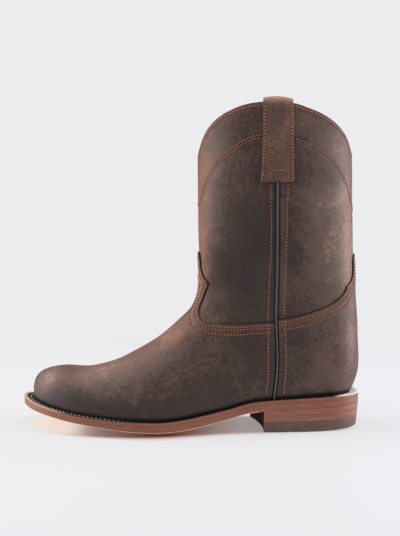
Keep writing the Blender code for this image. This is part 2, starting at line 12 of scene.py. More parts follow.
import bpy
import numpy as np
from bpy.props import FloatProperty, FloatVectorProperty, PointerProperty
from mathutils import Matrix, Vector


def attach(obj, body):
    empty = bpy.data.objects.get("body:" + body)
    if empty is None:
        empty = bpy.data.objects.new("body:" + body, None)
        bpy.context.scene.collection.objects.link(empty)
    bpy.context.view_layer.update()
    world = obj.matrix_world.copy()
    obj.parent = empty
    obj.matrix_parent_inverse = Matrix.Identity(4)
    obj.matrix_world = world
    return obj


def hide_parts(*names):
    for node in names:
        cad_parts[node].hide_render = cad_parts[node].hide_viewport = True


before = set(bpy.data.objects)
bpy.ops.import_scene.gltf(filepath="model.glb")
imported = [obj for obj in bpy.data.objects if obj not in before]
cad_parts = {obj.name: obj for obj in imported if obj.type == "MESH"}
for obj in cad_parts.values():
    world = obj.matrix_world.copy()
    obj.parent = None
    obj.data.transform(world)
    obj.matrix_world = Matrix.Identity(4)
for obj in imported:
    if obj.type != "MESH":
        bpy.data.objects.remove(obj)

bl_info = {
    "name": "Roper boot",
    "version": (1, 0, 0),
    "blender": (4, 5, 0),
    "location": "View3D > Sidebar > Boot",
    "description": "Leather roper boot with stitched overlays, pull straps and stacked heel",
    "category": "Add Mesh",
}

MM = 0.001
GAP = 0.3

# Sections of the upper from the toe to the collar, one row for each line of the side view
SECTION_COLUMNS = ("front_x", "front_z", "under_x", "under_z", "lateral", "medial",
                   "centre", "widest", "crown", "tuck")
SECTIONS = (
    (-227.5, 22.2, -226.0, 18.0, 38.5, 38.5, 7.0, 0.70, 2.30, 3.5),
    (-228.1, 30.0, -222.0, 16.0, 39.5, 39.0, 7.0, 0.70, 2.30, 3.5),
    (-227.7, 35.8, -217.0, 14.0, 40.5, 39.5, 6.6, 0.70, 2.30, 3.5),
    (-225.2, 43.6, -210.0, 11.0, 41.5, 40.5, 6.2, 0.70, 2.30, 3.5),
    (-220.6, 48.4, -202.0, 8.0, 42.5, 41.5, 5.6, 0.70, 2.30, 3.5),
    (-212.5, 52.0, -194.0, 5.0, 43.5, 42.0, 4.8, 0.70, 2.30, 3.5),
    (-200.4, 54.2, -183.0, 2.0, 45.0, 42.5, 3.6, 0.70, 2.30, 3.5),
    (-178.5, 53.4, -166.0, -2.0, 46.5, 44.0, 1.0, 0.72, 2.20, 3.5),
    (-156.1, 58.0, -149.0, -5.0, 48.0, 45.0, -1.5, 0.74, 2.10, 3.2),
    (-133.8, 68.3, -130.0, -6.0, 48.0, 44.5, -2.5, 0.76, 1.95, 3.0),
    (-111.7, 81.3, -106.0, -3.0, 45.5, 41.5, -2.5, 0.76, 1.85, 2.8),
    (-95.0, 95.6, -78.0, 2.0, 41.0, 37.0, -2.0, 0.76, 1.80, 2.6),
    (-83.8, 106.4, -46.0, 6.0, 36.0, 33.0, -1.0, 0.76, 1.80, 2.5),
    (-78.8, 116.5, -8.0, 10.0, 33.0, 32.5, 0.0, 0.74, 1.80, 2.5),
    (-76.9, 124.8, 28.0, 15.0, 33.0, 33.0, 0.0, 0.70, 1.85, 2.6),
    (-76.3, 131.9, 53.4, 24.8, 33.5, 33.5, 0.0, 0.66, 1.90, 2.6),
    (-76.0, 140.0, 65.1, 46.5, 35.7, 35.7, 0.0, 0.62, 2.00, 2.4),
    (-76.3, 152.0, 66.1, 84.0, 39.7, 39.7, 0.0, 0.58, 2.00, 2.2),
    (-77.3, 170.0, 63.7, 125.9, 44.8, 44.8, 0.0, 0.55, 2.10, 2.2),
    (-77.8, 200.0, 62.2, 176.0, 50.0, 50.0, 0.0, 0.52, 2.10, 2.1),
    (-78.2, 245.0, 60.9, 240.0, 53.5, 53.5, 0.0, 0.50, 2.10, 2.1),
    (-78.4, 300.0, 60.5, 300.0, 55.0, 55.0, 0.0, 0.50, 2.10, 2.1),
)
TOE_TIP = -228.1
TOE_ROUND = 62.0

# Heights of the sole's edge and of the middle of its tread
SOLE_COLUMNS = ("x", "welt_top", "edge_bottom", "middle_bottom")
SOLE = (
    (-238.0, 27.6, 20.4, 20.4),
    (-228.0, 24.7, 17.6, 17.4),
    (-212.0, 21.2, 14.5, 13.8),
    (-193.7, 18.4, 11.6, 10.2),
    (-170.6, 15.8, 8.6, 6.2),
    (-149.7, 14.1, 5.9, 2.9),
    (-127.5, 13.0, 3.7, -0.2),
    (-107.0, 12.5, 2.9, -0.5),
    (-88.0, 14.4, 4.5, 1.4),
    (-74.4, 16.8, 6.9, 4.8),
    (-61.0, 19.5, 9.9, 8.5),
    (-49.6, 22.0, 12.7, 11.8),
    (-38.0, 25.4, 16.2, 15.7),
    (-30.0, 27.2, 17.8, 17.6),
    (-20.0, 28.2, 18.7, 18.6),
    (8.8, 30.2, 20.6, 20.6),
    (25.0, 31.1, 21.5, 21.5),
    (41.0, 31.9, 22.3, 22.3),
    (58.0, 32.3, 22.7, 22.7),
    (70.0, 32.3, 22.7, 22.7),
)
FLAT_HALF = 0.5

# How far the sole reaches past the upper
LEDGE_COLUMNS = ("x", "lateral", "medial")
LEDGE = (
    (-228.0, 10.0, 10.0),
    (-205.0, 8.0, 8.0),
    (-170.0, 6.6, 6.6),
    (-130.0, 6.2, 6.0),
    (-90.0, 5.6, 4.6),
    (-50.0, 4.8, 3.6),
    (-20.0, 5.0, 4.6),
    (15.0, 5.4, 5.4),
    (45.0, 8.0, 8.0),
    (62.0, 9.6, 9.6),
)
WELT = 3.0
WELT_LAP = 3.0
BEAD_HALF = 1.2

# Width of the rounding along the cut edge of an overlay
RIM = 0.5

# Heel: its breast, its taper toward the floor, its lifts, the rubber and the tread
BREAST_LATERAL = -19.4
BREAST_MEDIAL = -28.5
BREAST_HOLLOW = 3.3
HEEL_TOP = 20.3
HEEL_TAPER = 2.0
HEEL_TAPER_HEIGHT = 22.0
LIFTS = 2
CLOSED_BY = 0.05
RUBBER_AT_ORIGIN = 9.5
RUBBER_SLOPE = 0.026
HEEL_FLAT_END = 16.0
HEEL_RISE = 2.9
HEEL_RISE_LENGTH = 52.0

# Walls from the top down: share of the way down, and how far the wall is drawn in there
OUTSOLE_LAYERS = ((0.0, 0.35), (0.35, 0.0), (0.88, 0.0), (0.985, 0.12), (1.0, 0.5))
LIFT_LAYERS = ((0.0, 0.12), (0.03, 0.0), (0.5, 0.0), (0.97, 0.0), (1.0, 0.12))
RUBBER_LAYERS = ((0.0, 0.15), (0.03, 0.0), (0.5, 0.0), (0.93, 0.0), (1.0, 0.4))

# Round the welt's section from its outer lower edge: share of the ledge, None for the lap
# under the upper, and the drop below the welt's top, None for the whole thickness
WELT_PROFILE = (
    (1.0, None), (1.0, 0.45), (0.97, 0.12), (0.92, 0.0), (0.72, 0.0), (0.60, 0.02),
    (0.50, 0.22), (0.38, 0.48), (0.20, 0.55), (0.0, 0.5), (None, 0.5), (None, None),
    (0.5, None),
)

# Rolled edge of the collar: distance below the edge, and how far both faces draw together
COLLAR_LIP = ((1.1, 0.0), (0.7, 0.04), (0.35, 0.12), (0.12, 0.28), (0.0, 0.55))

# Collar arch, the same on both sides
COLLAR_COLUMNS = ("x", "z")
COLLAR = (
    (-82.0, 243.2), (-78.6, 243.8), (-77.4, 249.0), (-75.0, 257.2), (-71.5, 265.0),
    (-66.0, 272.4), (-58.6, 278.6), (-48.4, 283.9), (-36.0, 288.0), (-20.0, 289.8),
    (-5.0, 289.7), (7.6, 287.8), (18.0, 284.4), (28.7, 280.4), (39.9, 274.1), (48.0, 267.2),
    (54.0, 259.5), (57.6, 251.5), (60.0, 246.6), (62.0, 245.4),
)

# Side seam, from the pull strap down to the welt
SEAM_COLUMNS = ("z", "x")
SIDE_SEAM = (
    (20.0, -11.2), (28.8, -10.5), (38.7, -9.4), (55.7, -7.9), (78.0, -7.8), (98.0, -8.9),
    (147.0, -8.9), (189.0, -9.4), (226.0, -9.4),
)
SEAM_TOP = 221.2

# Top edges of the two overlays with their tongues, in the side view
VAMP_EDGE = (
    (-80.2, 161.0), (-77.6, 158.0), (-76.4, 151.0), (-75.2, 141.7), (-72.8, 135.6),
    (-69.6, 131.4), (-69.2, 129.2), (-70.6, 125.9), (-72.7, 120.3), (-74.7, 115.1),
    (-76.4, 111.1), (-77.5, 106.8), (-77.2, 103.4), (-75.9, 99.6), (-73.3, 97.2),
    (-69.6, 96.2), (-63.2, 95.6), (-52.2, 95.3), (-37.4, 96.0), (-26.1, 97.1), (-10.5, 98.4),
)
COUNTER_EDGE = (
    (-7.2, 101.0), (1.7, 102.3), (12.5, 104.9), (24.0, 108.2), (35.3, 112.6), (44.6, 117.1),
    (48.0, 119.7), (50.7, 122.2), (52.6, 124.5), (54.0, 127.0), (54.4, 129.4), (56.5, 130.9),
    (59.3, 134.2), (61.0, 138.4), (61.9, 144.0), (61.5, 149.5), (61.9, 154.0), (64.0, 157.0),
    (67.0, 159.0),
)

# Pull strap: height against its two edges
STRAP_COLUMNS = ("z", "front", "back")
STRAP_EDGES = (
    (221.8, -24.0, 4.8),
    (240.0, -23.0, 4.4),
    (262.0, -22.2, 3.8),
    (292.0, -22.2, 3.4),
)
STRAP_INSIDE = 34.0
STRAP_LOOP = 2.2
STRAP_INNER_GAP = 0.9

# Stitch rows as seen from the side
SEAM_ROWS = (
    ((-15.3, 231.0), (-15.3, 216.3), (-14.4, 190.5), (-14.3, 157.5), (-14.8, 146.8),
     (-15.7, 97.7), (-15.5, 67.3), (-15.7, 50.4), (-16.9, 38.9), (-17.8, 31.7)),
    ((-0.6, 231.0), (-0.6, 216.4), (-0.8, 197.5), (-1.2, 170.6), (-1.4, 150.6),
     (-2.0, 113.2), (-0.9, 92.7), (0.1, 72.8), (0.0, 55.9), (-1.1, 40.6), (-2.0, 32.9)),
)
ARCH = (
    (-77.9, 200.0), (-76.6, 203.5), (-73.3, 212.8), (-71.1, 221.8), (-64.6, 231.7),
    (-56.9, 241.6), (-49.2, 248.6), (-40.8, 254.1), (-32.2, 258.6), (-22.3, 260.7),
    (-9.0, 260.4), (3.8, 257.3), (11.4, 254.8), (22.7, 249.3), (33.4, 243.0), (41.9, 235.0),
    (48.4, 227.2), (53.7, 218.1), (57.2, 206.9), (60.3, 199.0), (61.4, 195.5),
)

# Where the rows lie and stop: distances in from an overlay's edge, heights of the front and
# the back seam row just below and above that edge, their ends at the strap's foot, half the
# spread of the arched pair, the collar row's distance, the x on both sides of the strap, the
# distance kept from the side seam, and the x at which the welt's row ends in the waist
EDGE_ROWS = (2.7, 5.0, 9.6)
SEAM_ROW_ENDS = ((97.4, 98.4), (101.2, 102.2))
STRAP_FOOT_ENDS = (220.5, 223.5)
ARCH_HALF = 1.15
COLLAR_ROW = 2.8
BESIDE_STRAP = (-21.6, 3.8)
BESIDE_SEAM = 2.1
WELT_ROW_END = -66.0

# Soft creases: troughs are minus, ridges plus. turn is in degrees from the floor line
CREASE_COLUMNS = ("x", "z", "turn", "half_length", "half_width", "bend", "depth",
                  "lateral", "medial")
CREASES = (
    (-197.0, 56.0, 4.0, 26.0, 12.0, 0.0, -1.20, 1.0, 1.0),
    (-176.0, 60.0, 10.0, 62.0, 14.0, 0.0, -0.75, 1.0, 1.0),
    (-178.0, 45.0, 72.0, 22.0, 6.5, 0.002, -0.35, 1.0, 1.0),
    (-150.0, 50.0, 62.0, 20.0, 5.0, 0.003, -0.30, 1.0, 0.8),
    (-138.0, 50.0, 60.0, 18.0, 4.5, 0.003, 0.25, 1.0, 0.9),
    (-126.0, 52.0, 58.0, 22.0, 5.0, 0.003, -0.35, 1.0, 1.0),
    (-100.0, 70.0, 35.0, 26.0, 7.0, 0.0, -0.50, 1.0, 1.0),
    (-84.0, 84.0, 30.0, 24.0, 6.0, 0.0, 0.35, 1.0, 0.8),
    (-62.0, 106.0, 20.0, 24.0, 6.0, -0.004, -0.70, 1.0, 1.0),
    (-52.0, 116.0, 16.0, 26.0, 6.0, -0.004, 0.45, 1.0, 1.0),
    (-48.0, 128.0, 14.0, 28.0, 7.0, -0.003, -0.50, 0.9, 1.0),
    (30.0, 92.0, -24.0, 22.0, 7.0, 0.004, -0.50, 1.0, 0.9),
    (34.0, 124.0, -20.0, 24.0, 7.0, 0.004, -0.60, 1.0, 1.0),
    (38.0, 138.0, -16.0, 22.0, 6.0, 0.003, 0.40, 1.0, 1.0),
    (-45.0, 190.0, 84.0, 46.0, 12.0, 0.0, -0.80, 1.0, 0.6),
    (-60.0, 170.0, 80.0, 40.0, 9.0, 0.0, 0.50, 1.0, 0.8),
    (25.0, 185.0, 96.0, 50.0, 13.0, 0.0, -0.90, 1.0, 0.8),
    (44.0, 200.0, 92.0, 44.0, 9.0, 0.0, 0.50, 0.8, 1.0),
    (-30.0, 240.0, 12.0, 30.0, 10.0, 0.0, -0.40, 0.8, 1.0),
    (28.0, 225.0, -30.0, 30.0, 9.0, 0.0, -0.45, 1.0, 0.8),
)

# Soft patches of the upper's colour, tone running from dark (minus) to pale (plus): partly the
# real mottling of the pull-up finish, partly painted highlights where light falls on the shaft's
# front and back edges, the toe's top and the strap's fold, with darker patches in the shaft's
# middle and above the welt
TONE_COLUMNS = ("x", "z", "turn", "half_length", "half_width", "tone", "copper")
TONE_AND_LIGHT_PATCHES = (
    (-214.0, 42.0, 50.0, 16.0, 9.0, 0.32, 0.10),
    (-172.0, 52.0, 8.0, 30.0, 8.0, 0.28, 0.15),
    (-196.0, 30.0, -10.0, 30.0, 8.0, -0.20, 0.0),
    (-140.0, 24.0, 0.0, 50.0, 8.0, -0.15, 0.0),
    (-132.0, 46.0, 20.0, 40.0, 20.0, 0.09, 0.0),
    (-118.0, 74.0, 30.0, 30.0, 9.0, 0.12, 0.20),
    (-96.0, 88.0, 42.0, 18.0, 8.0, 0.18, 0.45),
    (-79.0, 118.0, 85.0, 34.0, 6.0, 0.32, 0.12),
    (-77.0, 138.0, 85.0, 10.0, 5.0, 0.18, 0.0),
    (-70.0, 60.0, 10.0, 30.0, 16.0, 0.04, 0.0),
    (-40.0, 128.0, 10.0, 26.0, 26.0, -0.26, 0.0),
    (-35.0, 175.0, 80.0, 40.0, 18.0, -0.18, 0.0),
    (-74.0, 185.0, 90.0, 60.0, 7.0, 0.15, 0.6),
    (-66.0, 235.0, 60.0, 24.0, 8.0, 0.12, 0.3),
    (-30.0, 226.0, 20.0, 22.0, 14.0, -0.04, 0.0),
    (-40.0, 212.0, 15.0, 26.0, 12.0, 0.06, 0.0),
    (-58.0, 116.0, 90.0, 18.0, 10.0, 0.08, 0.05),
    (-4.5, 160.0, 90.0, 70.0, 3.0, 0.16, 0.10),
    (25.0, 102.0, 22.0, 24.0, 6.0, 0.09, 0.0),
    (34.0, 172.0, 90.0, 62.0, 19.0, 0.27, 0.03),
    (56.0, 180.0, 92.0, 64.0, 9.0, 0.33, 0.30),
    (34.0, 258.0, -35.0, 38.0, 13.0, 0.20, 0.0),
    (58.0, 84.0, 90.0, 40.0, 8.0, 0.26, 0.1),
    (18.0, 60.0, 0.0, 26.0, 20.0, 0.05, 0.0),
    (40.0, 52.0, 0.0, 22.0, 16.0, 0.10, 0.05),
    (40.0, 80.0, 60.0, 24.0, 14.0, 0.06, 0.1),
    (-9.5, 294.0, 0.0, 18.0, 5.5, 0.68, 0.65),
    (-9.5, 256.0, 90.0, 26.0, 9.0, 0.10, 0.05),
)

# Mesh steps
UPPER_ROWS = (84, 12, 150)
UPPER_COLUMNS = 80
OVERLAY_ROWS = 190
SOLE_STEPS = 240
SOLE_ACROSS = 24
INSOLE_STEPS = 120
INSOLE_ACROSS = 16
HEEL_STEPS = (60, 20)

# Stage, in metres: the boot's middle, the camera, its aim and the height that the lights face
MIDDLE_X = -0.076
CAMERA_PLACE = (MIDDLE_X, -1.0, 0.215)
CAMERA_AIM = (MIDDLE_X, 0.0, 0.1438)
LIGHT_AIM = (MIDDLE_X, 0.0, 0.13)
COOL_LIGHT = (0.84, 0.92, 1.0)
PLAIN_LIGHT = (1.0, 1.0, 1.0)

# Floor: colour and own light, away from the sole, in the sole's painted shadow and warm painted
# reflection, and in the painted light patch under the raised toe
FLOOR_PLAIN = (0.22, 0.22, 0.225)
FLOOR_SHADOW_REFLECTION = (0.37, 0.155, 0.09)
FLOOR_LIGHT = (0.547, 0.544, 0.552)
FLOOR_LIGHT_IN_SHADOW = (0.070, 0.024, 0.012)
FLOOR_LIGHT_TOE = (0.71, 0.61, 0.55)


def curve(knots, values, at):
    """Smooth curve through a table: cubic pieces, each slope from its neighbours' parabola."""
    knots = np.asarray(knots, float)
    values = np.asarray(values, float)
    at = np.clip(np.asarray(at, float), knots[0], knots[-1])
    step = np.diff(knots)
    rise = np.diff(values) / step
    slope = np.empty_like(values)
    slope[1:-1] = (rise[:-1] * step[1:] + rise[1:] * step[:-1]) / (step[1:] + step[:-1])
    slope[0] = 1.5 * rise[0] - 0.5 * slope[1]
    slope[-1] = 1.5 * rise[-1] - 0.5 * slope[-2]
    i = np.clip(np.searchsorted(knots, at, side="right") - 1, 0, len(step) - 1)
    u = (at - knots[i]) / step[i]
    return ((1 + 2 * u) * (1 - u) ** 2 * values[i]
            + u * (1 - u) ** 2 * step[i] * slope[i]
            + u * u * (3 - 2 * u) * values[i + 1]
            + u * u * (u - 1) * step[i] * slope[i + 1])


def looked_up(table, columns, name, at):
    """One named column of a table, read smoothly against its first column."""
    rows = np.array(table)
    return curve(rows[:, 0], rows[:, columns.index(name)], at)


def section_knots():
    """Place of each section row along the boot, from 0 at the toe to 1 above the collar."""
    rows = np.array(SECTIONS)
    front = np.hypot(np.diff(rows[:, 0]), np.diff(rows[:, 1]))
    under = np.hypot(np.diff(rows[:, 2]), np.diff(rows[:, 3]))
    place = np.concatenate([[0.0], np.cumsum(front + under)])
    return place / place[-1]


KNOTS = section_knots()
FINE = np.linspace(0.0, 1.0, 1201)


def section(name, s):
    """One column of the section table at the places s."""
    return curve(KNOTS, np.array(SECTIONS)[:, SECTION_COLUMNS.index(name)], s)


def welt_top(x):
    """Height of the welt's top at x."""
    return looked_up(SOLE, SOLE_COLUMNS, "welt_top", x)


def seam_x(z):
    """Side-view x of the side seam at a height."""
    return looked_up(SIDE_SEAM, SEAM_COLUMNS, "x", z)


def smooth(value):
    """Smooth step of a value held between 0 and 1."""
    value = np.clip(value, 0.0, 1.0)
    return value * value * (3 - 2 * value)


def toe_closing(x):
    """Share of the half breadth left by the quarter ellipse that rounds the toe in plan."""
    inward = np.clip((TOE_TIP + TOE_ROUND - x) / TOE_ROUND, 0.0, 1.0)
    return np.sqrt(1.0 - inward ** 2)


def form(s, t, side):
    """Point of the upper's face: s along the boot, t from ridge (0) to underside (1).

    x and z lie on the straight line between the two; y is the half breadth times the
    superellipse share; a t below 0 or above 1 runs on to the other side.
    """
    s, t, side = np.broadcast_arrays(*(np.asarray(v, float) for v in (s, t, side)))
    side = np.where((t > 1.0) | (t < 0.0), -side, side)
    t = np.where(t > 1.0, 2.0 - t, np.abs(t))
    x = section("front_x", s) * (1 - t) + section("under_x", s) * t
    z = section("front_z", s) * (1 - t) + section("under_z", s) * t
    widest, crown, tuck = section("widest", s), section("crown", s), section("tuck", s)
    above = np.clip(1.0 - t / widest, 0.0, 1.0)
    below = np.clip((t - widest) / (1.0 - widest), 0.0, 1.0)
    share = np.where(t < widest,
                     (1.0 - above ** crown) ** (1.0 / crown),
                     (1.0 - below ** tuck) ** (1.0 / tuck))
    half = np.where(side < 0, section("lateral", s), section("medial", s))
    y = section("centre", s) + side * half * share * toe_closing(x)
    return np.stack([x, y, z], axis=-1)


def mounds(table, columns, name, x, z):
    """Sum of soft mounds: a named height times a Gaussian along and across a turned axis."""
    total = np.zeros_like(x)
    for row in table:
        turn = math.radians(row[columns.index("turn")])
        dx, dz = x - row[0], z - row[1]
        along = dx * math.cos(turn) + dz * math.sin(turn)
        across = dz * math.cos(turn) - dx * math.sin(turn)
        if "bend" in columns:
            across = across - row[columns.index("bend")] * along ** 2
        reach = row[columns.index("half_length")], row[columns.index("half_width")]
        total += (row[columns.index(name)]
                  * np.exp(-(along / reach[0]) ** 2 - (across / reach[1]) ** 2))
    return total


def relief(place, t, side):
    """Soft creases and the dips along the seam and the arch; the sides blend at ridge and back."""
    x, z = place[..., 0], place[..., 2]
    inner = 0.5 * (1 + side * np.sqrt(np.clip(4 * t * (1 - t), 0, 1)))
    both = []
    for name in ("lateral", "medial"):
        share = CREASE_COLUMNS.index(name)
        depth = CREASE_COLUMNS.index("depth")
        rows = [row[:depth] + (row[depth] * row[share],) for row in CREASES]
        both.append(mounds(rows, CREASE_COLUMNS, "depth", x, z))
    creases = both[0] * (1 - inner) + both[1] * inner
    seam = np.exp(-((x - seam_x(z)) / 2.6) ** 4)
    arch = np.exp(-(arch_distance(x, z) / 1.7) ** 2)
    return creases - 0.35 * seam - 0.30 * arch * (z > 190)


def arch_distance(x, z):
    """Signed height above the arch's stitch line, turned by the line's slope."""
    rows = np.array(ARCH)
    line = curve(rows[:, 0], rows[:, 1], x)
    slope = (curve(rows[:, 0], rows[:, 1], x + 0.5) - curve(rows[:, 0], rows[:, 1], x - 0.5))
    return (z - line) / np.sqrt(1 + slope ** 2)


def skin(s, t, side, offset):
    """Point at a distance from the face, along its outward normal, with the soft relief."""
    s, t, side = np.broadcast_arrays(*(np.asarray(v, float) for v in (s, t, side)))
    ds, dt = 4e-4, 2e-4
    along = form(np.minimum(s + ds, 1.0), t, side) - form(np.maximum(s - ds, 0.0), t, side)
    round_it = form(s, t + dt, side) - form(s, t - dt, side)
    normal = np.cross(along, round_it)
    place = form(s, t, side)
    middle = form(s, np.full_like(t, 0.5), side)
    middle[..., 1] = section("centre", s)
    flip = np.where(np.sum(normal * (place - middle), axis=-1) < 0, -1.0, 1.0)
    length = np.linalg.norm(normal, axis=-1)
    lift = offset + relief(place, t, side)
    return place + normal * (flip * lift / np.maximum(length, 1e-12))[..., None]


def halved(test, low, high):
    """Bisection for arrays: test(middle) is true while the answer lies higher."""
    low = np.array(low, float)
    high = np.array(high, float)
    for _ in range(40):
        middle = 0.5 * (low + high)
        higher = test(middle)
        low = np.where(higher, middle, low)
        high = np.where(higher, high, middle)
    return 0.5 * (low + high)


def above_welt(s, t):
    """Height of the form over the face it stands on."""
    place = form(s, t, -1.0)
    return place[..., 2] - welt_top(place[..., 0]) - GAP


S_TOE = float(halved(lambda s: above_welt(s, 0.0) < 0, 0.0, 0.08))
S_HEEL = float(halved(lambda s: above_welt(s, 1.0) < 0, 0.45, 0.62))
S_ANKLE = S_HEEL + 0.07


def feather(s):
    """Fraction of each section line at which it meets the welt; 1 above the heel."""
    s = np.asarray(s, float)
    met = halved(lambda t: above_welt(s, t) > 0, np.zeros_like(s), np.ones_like(s))
    return np.where(s >= S_HEEL - 1e-9, 1.0, np.where(s <= S_TOE + 1e-9, 0.0, met))


def turn_of(s):
    """Arc that the grid columns sweep: most of a half turn at the toe, all of it at the heel."""
    return np.pi * (0.62 + 0.38 * smooth((np.asarray(s, float) - 0.30) / (S_HEEL - 0.30)))


def placed(s, a, offset):
    """Points of the upper's grid at s and column a (0 ridge, 1 feather or back, sign the side)."""
    turn = turn_of(s)
    t = feather(s) * (1 - np.cos(turn * np.abs(a))) / (1 - np.cos(turn))
    points = skin(s, t, np.where(a < 0, -1.0, 1.0), offset)
    centre = section("centre", s)
    at_edge = np.abs(a) > 1 - 1e-9
    middle = (s <= S_TOE + 1e-9) | (at_edge & (s >= S_HEEL - 1e-9))
    points[..., 1] = np.where(middle, centre, points[..., 1])
    low = (at_edge & (s < S_HEEL - 1e-9)) | (s <= S_TOE + 1e-9)
    points[..., 2] = np.where(low, welt_top(points[..., 0]) + GAP, points[..., 2])
    return points


def collar_place(a):
    """Place s at which the grid column a meets the collar arch."""
    t = (1 - np.cos(np.pi * np.abs(a))) / 2

    def lower(s):
        place = form(s, t, -1.0)
        return place[..., 2] < looked_up(COLLAR, COLLAR_COLUMNS, "z", place[..., 0])

    return halved(lower, np.full_like(t, 0.75), np.ones_like(t))


def grid_faces(rows, columns):
    """Triangles of a grid; the diagonals are mirrored about its middle column."""
    i, j = np.meshgrid(np.arange(rows - 1), np.arange(columns - 1), indexing="ij")
    a = (i * columns + j).ravel()
    b, c, d = a + 1, a + columns + 1, a + columns
    left = (j < (columns - 1) / 2).ravel()
    first = np.where(left[:, None], np.stack([a, b, c], 1), np.stack([a, b, d], 1))
    second = np.where(left[:, None], np.stack([a, c, d], 1), np.stack([b, c, d], 1))
    return np.concatenate([first, second])


def split(data, faces, column, level):
    """Cut triangles along the line where one column of the vertex data passes a level.

    A cut triangle becomes three; the new vertex is the linear blend of its edge's two ends.
    """
    value = data[:, column] - level
    value = np.where(np.abs(value) < 1e-6, 1e-6, value)
    over = value[faces] > 0
    count = over.sum(axis=1)
    mixed = (count == 1) | (count == 2)
    some, flags = faces[mixed], over[mixed]
    lone = np.where((count[mixed] == 1)[:, None], flags, ~flags).argmax(axis=1)
    row = np.arange(len(some))
    a, b, c = (some[row, (lone + k) % 3] for k in range(3))
    edges = np.sort(np.concatenate([np.stack([a, b], 1), np.stack([a, c], 1)]), axis=1)
    unique, which = np.unique(edges, axis=0, return_inverse=True)
    which = which.ravel() + len(data)
    p, q = value[unique[:, 0]], value[unique[:, 1]]
    share = (p / (p - q))[:, None]
    fresh = data[unique[:, 0]] * (1 - share) + data[unique[:, 1]] * share
    fresh[:, column] = level
    ab, ac = which[:len(a)], which[len(a):]
    made = np.concatenate([np.stack([a, ab, ac], 1), np.stack([ab, b, c], 1),
                           np.stack([ab, c, ac], 1)])
    return np.concatenate([data, fresh]), np.concatenate([faces[~mixed], made])


def welded(points, faces):
    """Merge equal points and drop collapsed faces.

    Returns the kept rows of points, the new faces, and which of the old faces are left.
    """
    key = np.round(points * 2000).astype(np.int64)
    kept, index = np.unique(key, axis=0, return_index=True, return_inverse=True)[1:]
    faces = index.ravel()[faces]
    whole = ((faces[:, 0] != faces[:, 1]) & (faces[:, 1] != faces[:, 2])
             & (faces[:, 2] != faces[:, 0]))
    return kept, faces[whole], whole


def shell(outer, inner, faces):
    """Closed shell between two sets of points on the same faces, with walls on its rims.

    Returns the points, the faces, the group of each face (0 outside, 1 inside, 2 rim) and
    the source row of each point.
    """
    kept, faces, _ = welded(np.concatenate([outer, inner], axis=1), faces)
    count = len(kept)
    edges = np.concatenate([faces[:, [0, 1]], faces[:, [1, 2]], faces[:, [2, 0]]])
    mark = np.sort(edges, axis=1) @ np.array([count, 1])
    found, times = np.unique(mark, return_counts=True)
    rim = edges[np.isin(mark, found[times == 1])]
    walls = np.concatenate([
        np.stack([rim[:, 1], rim[:, 0], rim[:, 0] + count], 1),
        np.stack([rim[:, 1], rim[:, 0] + count, rim[:, 1] + count], 1),
    ])
    group = np.repeat([0, 1, 2], [len(faces), len(faces), len(walls)])
    triangles = np.concatenate([faces, faces[:, ::-1] + count, walls])
    return (np.concatenate([outer[kept], inner[kept]]), triangles, group,
            np.concatenate([kept, kept]))


def swept(rings, closed=False):
    """Closed skin over rings of points: each ring joins the next, ends closed by fans.

    rings has the shape (steps, points round the profile, 3); closed joins last to first.
    """
    steps, around = rings.shape[:2]
    i, j = np.meshgrid(np.arange(steps if closed else steps - 1), np.arange(around),
                       indexing="ij")
    a, b = i * around + j, i * around + (j + 1) % around
    c, d = (b + around) % (steps * around), (a + around) % (steps * around)
    faces = np.concatenate([np.stack([a, b, c], -1).reshape(-1, 3),
                            np.stack([a, c, d], -1).reshape(-1, 3)])
    points = rings.reshape(-1, 3)
    if not closed:
        centres = rings[[0, -1]].mean(axis=1)
        ring = np.arange(around)
        after = (ring + 1) % around
        last = (steps - 1) * around
        start = np.stack([after, ring, np.full(around, len(points))], 1)
        end = np.stack([ring + last, after + last, np.full(around, len(points) + 1)], 1)
        points = np.concatenate([points, centres])
        faces = np.concatenate([faces, start, end])
    return points, faces


def give_traits(mesh, traits):
    """Store named values, one for each point, which the finishes read."""
    for trait, values in traits.items():
        layer = mesh.attributes.new(trait, "FLOAT", "POINT")
        layer.data.foreach_set("value", np.asarray(values, np.float32))


def built(name, points, faces, looks, group=None, traits=None, crease=40.0):
    """Piece from millimetre points and triangles, facing outward, with its finishes."""
    points = np.asarray(points, float)
    a, b, c = (points[faces[:, k]] for k in range(3))
    if np.sum(a * np.cross(b, c)) < 0:
        faces = faces[:, ::-1]
    mesh = bpy.data.meshes.new(name)
    mesh.from_pydata((points * MM).tolist(), [], faces.tolist())
    for look in looks:
        mesh.materials.append(look)
    if group is not None:
        mesh.polygons.foreach_set("material_index", np.asarray(group, np.int32))
    give_traits(mesh, traits or {})
    mesh.shade_smooth()
    mesh.set_sharp_from_angle(angle=math.radians(crease))
    mesh.update()
    piece = bpy.data.objects.new(name, mesh)
    bpy.context.scene.collection.objects.link(piece)
    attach(piece, "root")
    return piece


def located(x, z):
    """Place and fraction (s, t) of the section line that passes the side-view point (x, z)."""
    x = np.asarray(x, float).ravel()[:, None]
    z = np.asarray(z, float).ravel()[:, None]
    front_x, front_z = section("front_x", FINE), section("front_z", FINE)
    run_x, run_z = section("under_x", FINE) - front_x, section("under_z", FINE) - front_z
    miss = run_x * (z - front_z) - run_z * (x - front_x)
    t = (run_x * (x - front_x) + run_z * (z - front_z)) / (run_x ** 2 + run_z ** 2)
    crosses = (miss[:, :-1] * miss[:, 1:] <= 0) & (t[:, :-1] > -0.1) & (t[:, :-1] < 1.1)
    pick = np.argmax(crosses, axis=1)
    row = np.arange(len(pick))
    share = miss[row, pick] / (miss[row, pick] - miss[row, pick + 1])
    s = FINE[pick] + share * (FINE[1] - FINE[0])
    return s, t[row, pick] + share * (t[row, pick + 1] - t[row, pick])


def place_at(x, z):
    """Place s of the section line that passes one side-view point."""
    return float(located([x], [z])[0][0])


